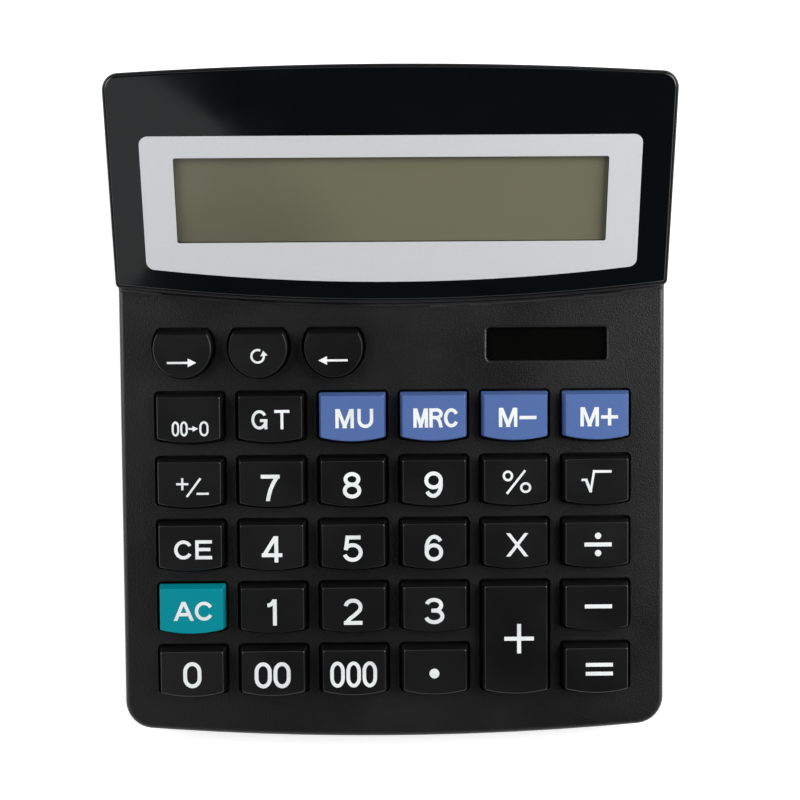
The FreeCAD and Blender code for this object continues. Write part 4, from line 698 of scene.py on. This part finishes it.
class CALCULATOR_OT_finish_keys(bpy.types.Operator):
    """Satin plastic on the keys, black, blue and teal, with painted shade on their skirts below the
    deck
    """

    bl_idname = "calculator.finish_keys"
    bl_label = "Finish Keys"

    def execute(self, context):
        colours = context.scene.calculator_colours
        black = [key for key in KEYS if key not in BLUE_KEYS + TEAL_KEYS]
        for name, keys, colour, shine in [("black_key", black, colours.key, 0.46),
                                          ("blue_key", BLUE_KEYS, colours.blue, 0.40),
                                          ("teal_key", TEAL_KEYS, colours.teal, 0.18)]:
            material = grained_plastic(
                name, colour, roughness=0.34, shine=shine,
                grain=0.35 * MM, depth=0.012 * MM, spread=0.06)
            deck_level = key_top(keys[0]).dot(DECK_NORMAL) - KEY_RISE
            # Painted shade: the skirt below the deck is darkened, standing in for the shadow in the
            # key's hole
            paint_skirt_shade(material, material.node_tree.nodes["Principled BSDF"], deck_level)
            dress(keys, material)
        return {"FINISHED"}


class CALCULATOR_OT_finish_inside(bpy.types.Operator):
    """Finishes of the board, the battery and the other inner pieces"""

    bl_idname = "calculator.finish_inside"
    bl_label = "Finish Inside"

    def execute(self, context):
        # Nodes of each finish, and its name, colour, roughness, noise size and metallic share
        for nodes, finish in [
            (["main_board"], ("solder_mask", (0.02, 0.13, 0.05), 0.35, 3 * MM, 0.0)),
            (["lcd_holder"], ("holder_plastic", (0.20, 0.20, 0.20), 0.5, 0.5 * MM, 0.0)),
            (["lcd_ribbon"], ("ribbon_film", (0.42, 0.23, 0.05), 0.35, 2 * MM, 0.0)),
            (["controller_chip", "board_capacitor"],
             ("black_resin", (0.008, 0.008, 0.010), 0.2, 2 * MM, 0.0)),
            (["solar_leads", "battery_leads"],
             ("lead_sleeve", (0.45, 0.02, 0.02), 0.45, 1 * MM, 0.0)),
            (["battery_cell"], ("cell_wrap", (0.26, 0.27, 0.29), 0.3, 4 * MM, 0.6)),
            (["battery_plate", "battery_spring"],
             ("nickel_contact", (0.62, 0.61, 0.58), 0.28, 1 * MM, 1.0)),
        ]:
            dress(nodes, plain_grain(*finish))
        return {"FINISHED"}


def part_mat(whole):
    """Parts the mat's mesh at the feet of its domes and closes the sheet and each dome.

    Returns the level of the feet along the deck's normal.
    """
    bmesh.ops.remove_doubles(whole, verts=whole.verts, dist=SAME_PLACE)
    foot = max(spot.co.dot(DECK_NORMAL) for spot in whole.verts) - DOME_HEIGHT
    domes = [face for face in whole.faces
             if face.calc_center_median().dot(DECK_NORMAL) > foot + SAME_PLACE]
    bmesh.ops.split(whole, geom=domes)
    bmesh.ops.holes_fill(whole, edges=[edge for edge in whole.edges if edge.is_boundary])
    bmesh.ops.recalc_face_normals(whole, faces=whole.faces)
    return foot


def middle_of(piece):
    """Middle of a piece's points, in the model's frame."""
    spots = [vertex.co for vertex in piece.data.vertices]
    return sum(spots, Vector()) / len(spots)


class CALCULATOR_OT_split_mat(bpy.types.Operator):
    """Silicone sheet with a dome under each key, parted into the sheet and one piece a dome"""

    bl_idname = "calculator.split_mat"
    bl_label = "Split Mat"

    def execute(self, context):
        silicone = plain_grain("silicone_mat", (0.36, 0.36, 0.36), roughness=0.65, size=1 * MM)
        dress(["rubber_keypad"], silicone)
        whole = bmesh.new()
        whole.from_mesh(frame["nodes"]["rubber_keypad"].data)
        foot = part_mat(whole)
        mesh = bpy.data.meshes.new("mat_sheet")
        whole.to_mesh(mesh)
        whole.free()
        mesh.materials.append(silicone)
        sheet = bpy.data.objects.new("mat_sheet", mesh)
        context.collection.objects.link(sheet)
        bpy.ops.object.select_all(action="DESELECT")
        context.view_layer.objects.active = sheet
        sheet.select_set(True)
        bpy.ops.mesh.separate(type="LOOSE")
        pieces = sorted(context.selected_objects, key=lambda piece: piece.dimensions.x)
        spots = {key: LEVEL @ key_top(key) for key in KEYS}
        for piece in pieces:
            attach(piece, "case")
            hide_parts("rubber_keypad")
        sheet = pieces.pop()
        served = []
        for dome in sorted(pieces, key=lambda piece: middle_of(piece).y):
            middle = middle_of(dome)
            key = min(KEYS, key=lambda name: (spots[name] - LEVEL @ middle).xy.length)
            served.append(key)
            dome.name = f"dome_{served.count(key)}_{key}"
            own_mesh(dome)
        sheet.name = "mat_sheet"
        return {"FINISHED"}


class CALCULATOR_OT_print_legends(bpy.types.Operator):
    """White digits, letters and signs on the key tops"""

    bl_idname = "calculator.print_legends"
    bl_label = "Print Legends"

    def execute(self, context):
        sizes = context.scene.calculator_legends
        colours = context.scene.calculator_colours
        white = plain_grain("white_print", colours.legend, roughness=0.5, size=9 * MM)
        legends = word_strokes(sizes)
        for key, strokes in sign_strokes(sizes).items():
            legends[key] = strokes, CUT_SIGNS.get(key)
        missing = sorted(set(KEYS) - set(legends))
        if missing:
            raise RuntimeError(f"no legend for {missing}")
        # A line one millimetre long, which each stroke's weight scales
        nib = stroke_path("nib", [([(-0.5 * MM, 0), (0.5 * MM, 0)], (MM, MM))])
        for key in KEYS:
            print_legend(key, *legends[key], sizes.film, nib, white)
        bpy.data.objects.remove(nib)
        return {"FINISHED"}


def add_lamp(name, place, target, size, power):
    """A square soft lamp that faces a point and that the camera doesn't see."""
    bpy.ops.object.select_all(action="DESELECT")
    bpy.ops.object.light_add(type="AREA", location=place)
    lamp = bpy.context.object
    lamp.name = name
    lamp.data.shape = "SQUARE"
    lamp.data.size = size
    lamp.data.energy = power
    lamp.rotation_euler = (Vector(target) - Vector(place)).to_track_quat("-Z", "Y").to_euler()
    lamp.visible_camera = False
    return lamp


def seen_rays(tree):
    """One for the rays that show the background: from the camera, in gloss and through glass."""
    rays = tree.nodes.new("ShaderNodeLightPath")
    seen = rays.outputs["Is Camera Ray"]
    for name in ("Is Glossy Ray", "Is Transmission Ray"):
        either = tree.nodes.new("ShaderNodeMath")
        either.operation = "MAXIMUM"
        tree.links.new(seen, either.inputs[0])
        tree.links.new(rays.outputs[name], either.inputs[1])
        seen = either.outputs["Value"]
    return seen


def floor_finish(studio):
    """Pale floor that keeps its shadows and adds a little light where it is seen."""
    material, shader = start_finish("pale_floor", studio.floor, roughness=0.9)
    tree = material.node_tree
    glow = tree.nodes.new("ShaderNodeMath")
    glow.operation = "MULTIPLY"
    glow.inputs[1].default_value = studio.floor_glow
    shader.inputs["Emission Color"].default_value = (1, 1, 1, 1)
    tree.links.new(seen_rays(tree), glow.inputs[0])
    tree.links.new(glow.outputs["Value"], shader.inputs["Emission Strength"])
    return material


def set_world(context, strength):
    """Even light from all round, white where it is seen past the floor."""
    world = bpy.data.worlds.new("studio")
    context.scene.world = world
    world.use_nodes = True
    tree = world.node_tree
    sky = tree.nodes["Background"]
    sky.inputs["Color"].default_value = (1, 1, 1, 1)
    strengths = tree.nodes.new("ShaderNodeMapRange")
    strengths.inputs["To Min"].default_value = strength
    strengths.inputs["To Max"].default_value = 1.0
    tree.links.new(seen_rays(tree), strengths.inputs["Value"])
    tree.links.new(strengths.outputs["Result"], sky.inputs["Strength"])


def add_canopy(studio):
    """A black card overhead that only gloss sees, so that black plastic stays black from above."""
    bpy.ops.object.select_all(action="DESELECT")
    place = (0, 0, studio.canopy_height)
    bpy.ops.mesh.primitive_plane_add(size=studio.canopy_width, location=place)
    canopy = bpy.context.object
    canopy.name = "canopy"
    black = plain_grain("black_card", (0.002, 0.002, 0.002), roughness=0.9, size=10 * MM)
    canopy.data.materials.append(black)
    canopy.visible_camera = False
    canopy.visible_diffuse = False
    canopy.visible_transmission = False
    canopy.visible_shadow = False


class CALCULATOR_OT_set_stage(bpy.types.Operator):
    """Pale floor, soft side lamps, cards, even fill and the camera above the calculator"""

    bl_idname = "calculator.set_stage"
    bl_label = "Set Stage"

    def execute(self, context):
        studio = context.scene.calculator_studio
        bpy.ops.object.select_all(action="DESELECT")
        bpy.ops.mesh.primitive_plane_add(size=FLOOR_WIDTH, location=(0, 0, CAD_BOX[0].z))
        floor = context.object
        floor.name = "floor"
        floor.data.materials.append(floor_finish(studio))
        middle = (CAD_BOX[0] + CAD_BOX[1]) / 2
        add_lamp("left_lamp", studio.left_place, middle, studio.left_size, studio.left_power)
        add_lamp("right_lamp", studio.right_place, middle, studio.right_size, studio.right_power)
        card = add_lamp("card", studio.card_place, middle, studio.card_size, studio.card_power)
        card.visible_diffuse = False
        add_canopy(studio)
        set_world(context, studio.sky)
        bpy.ops.object.camera_add(location=studio.camera_place, rotation=studio.camera_turn)
        camera = context.object
        camera.name = "camera"
        camera.data.lens = studio.lens
        context.scene.camera = camera
        context.scene.view_settings.view_transform = "Standard"
        return {"FINISHED"}


class CALCULATOR_PT_panel(bpy.types.Panel):
    """Steps and values of the calculator"""

    bl_idname = "CALCULATOR_PT_panel"
    bl_label = "Desk Calculator"
    bl_space_type = "VIEW_3D"
    bl_region_type = "UI"
    bl_category = "Calculator"

    def draw(self, context):
        for operator in OPERATORS:
            self.layout.operator(operator.bl_idname)
        for group in GROUPS:
            values = getattr(context.scene, group)
            box = self.layout.box()
            for name in values.__annotations__:
                box.prop(values, name)


OPERATORS = [
    CALCULATOR_OT_finish_case,
    CALCULATOR_OT_finish_hood,
    CALCULATOR_OT_finish_keys,
    CALCULATOR_OT_finish_inside,
    CALCULATOR_OT_split_mat,
    CALCULATOR_OT_print_legends,
    CALCULATOR_OT_set_stage,
]
GROUPS = {
    "calculator_colours": CalculatorColours,
    "calculator_legends": CalculatorLegends,
    "calculator_studio": CalculatorStudio,
}


def register():
    """Registers the values, the steps and the panel."""
    for name, group in GROUPS.items():
        bpy.utils.register_class(group)
        setattr(bpy.types.Scene, name, PointerProperty(type=group))
    for operator in OPERATORS:
        bpy.utils.register_class(operator)
    bpy.utils.register_class(CALCULATOR_PT_panel)


def unregister():
    """Takes the panel, the steps and the values out again."""
    bpy.utils.unregister_class(CALCULATOR_PT_panel)
    for operator in reversed(OPERATORS):
        bpy.utils.unregister_class(operator)
    for name, group in reversed(GROUPS.items()):
        delattr(bpy.types.Scene, name)
        bpy.utils.unregister_class(group)


def main():
    """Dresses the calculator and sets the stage."""
    register()
    bpy.ops.calculator.finish_case()
    bpy.ops.calculator.finish_hood()
    bpy.ops.calculator.finish_keys()
    bpy.ops.calculator.finish_inside()
    bpy.ops.calculator.split_mat()
    bpy.ops.calculator.print_legends()
    bpy.ops.calculator.set_stage()


if __name__ == "__main__":
    main()
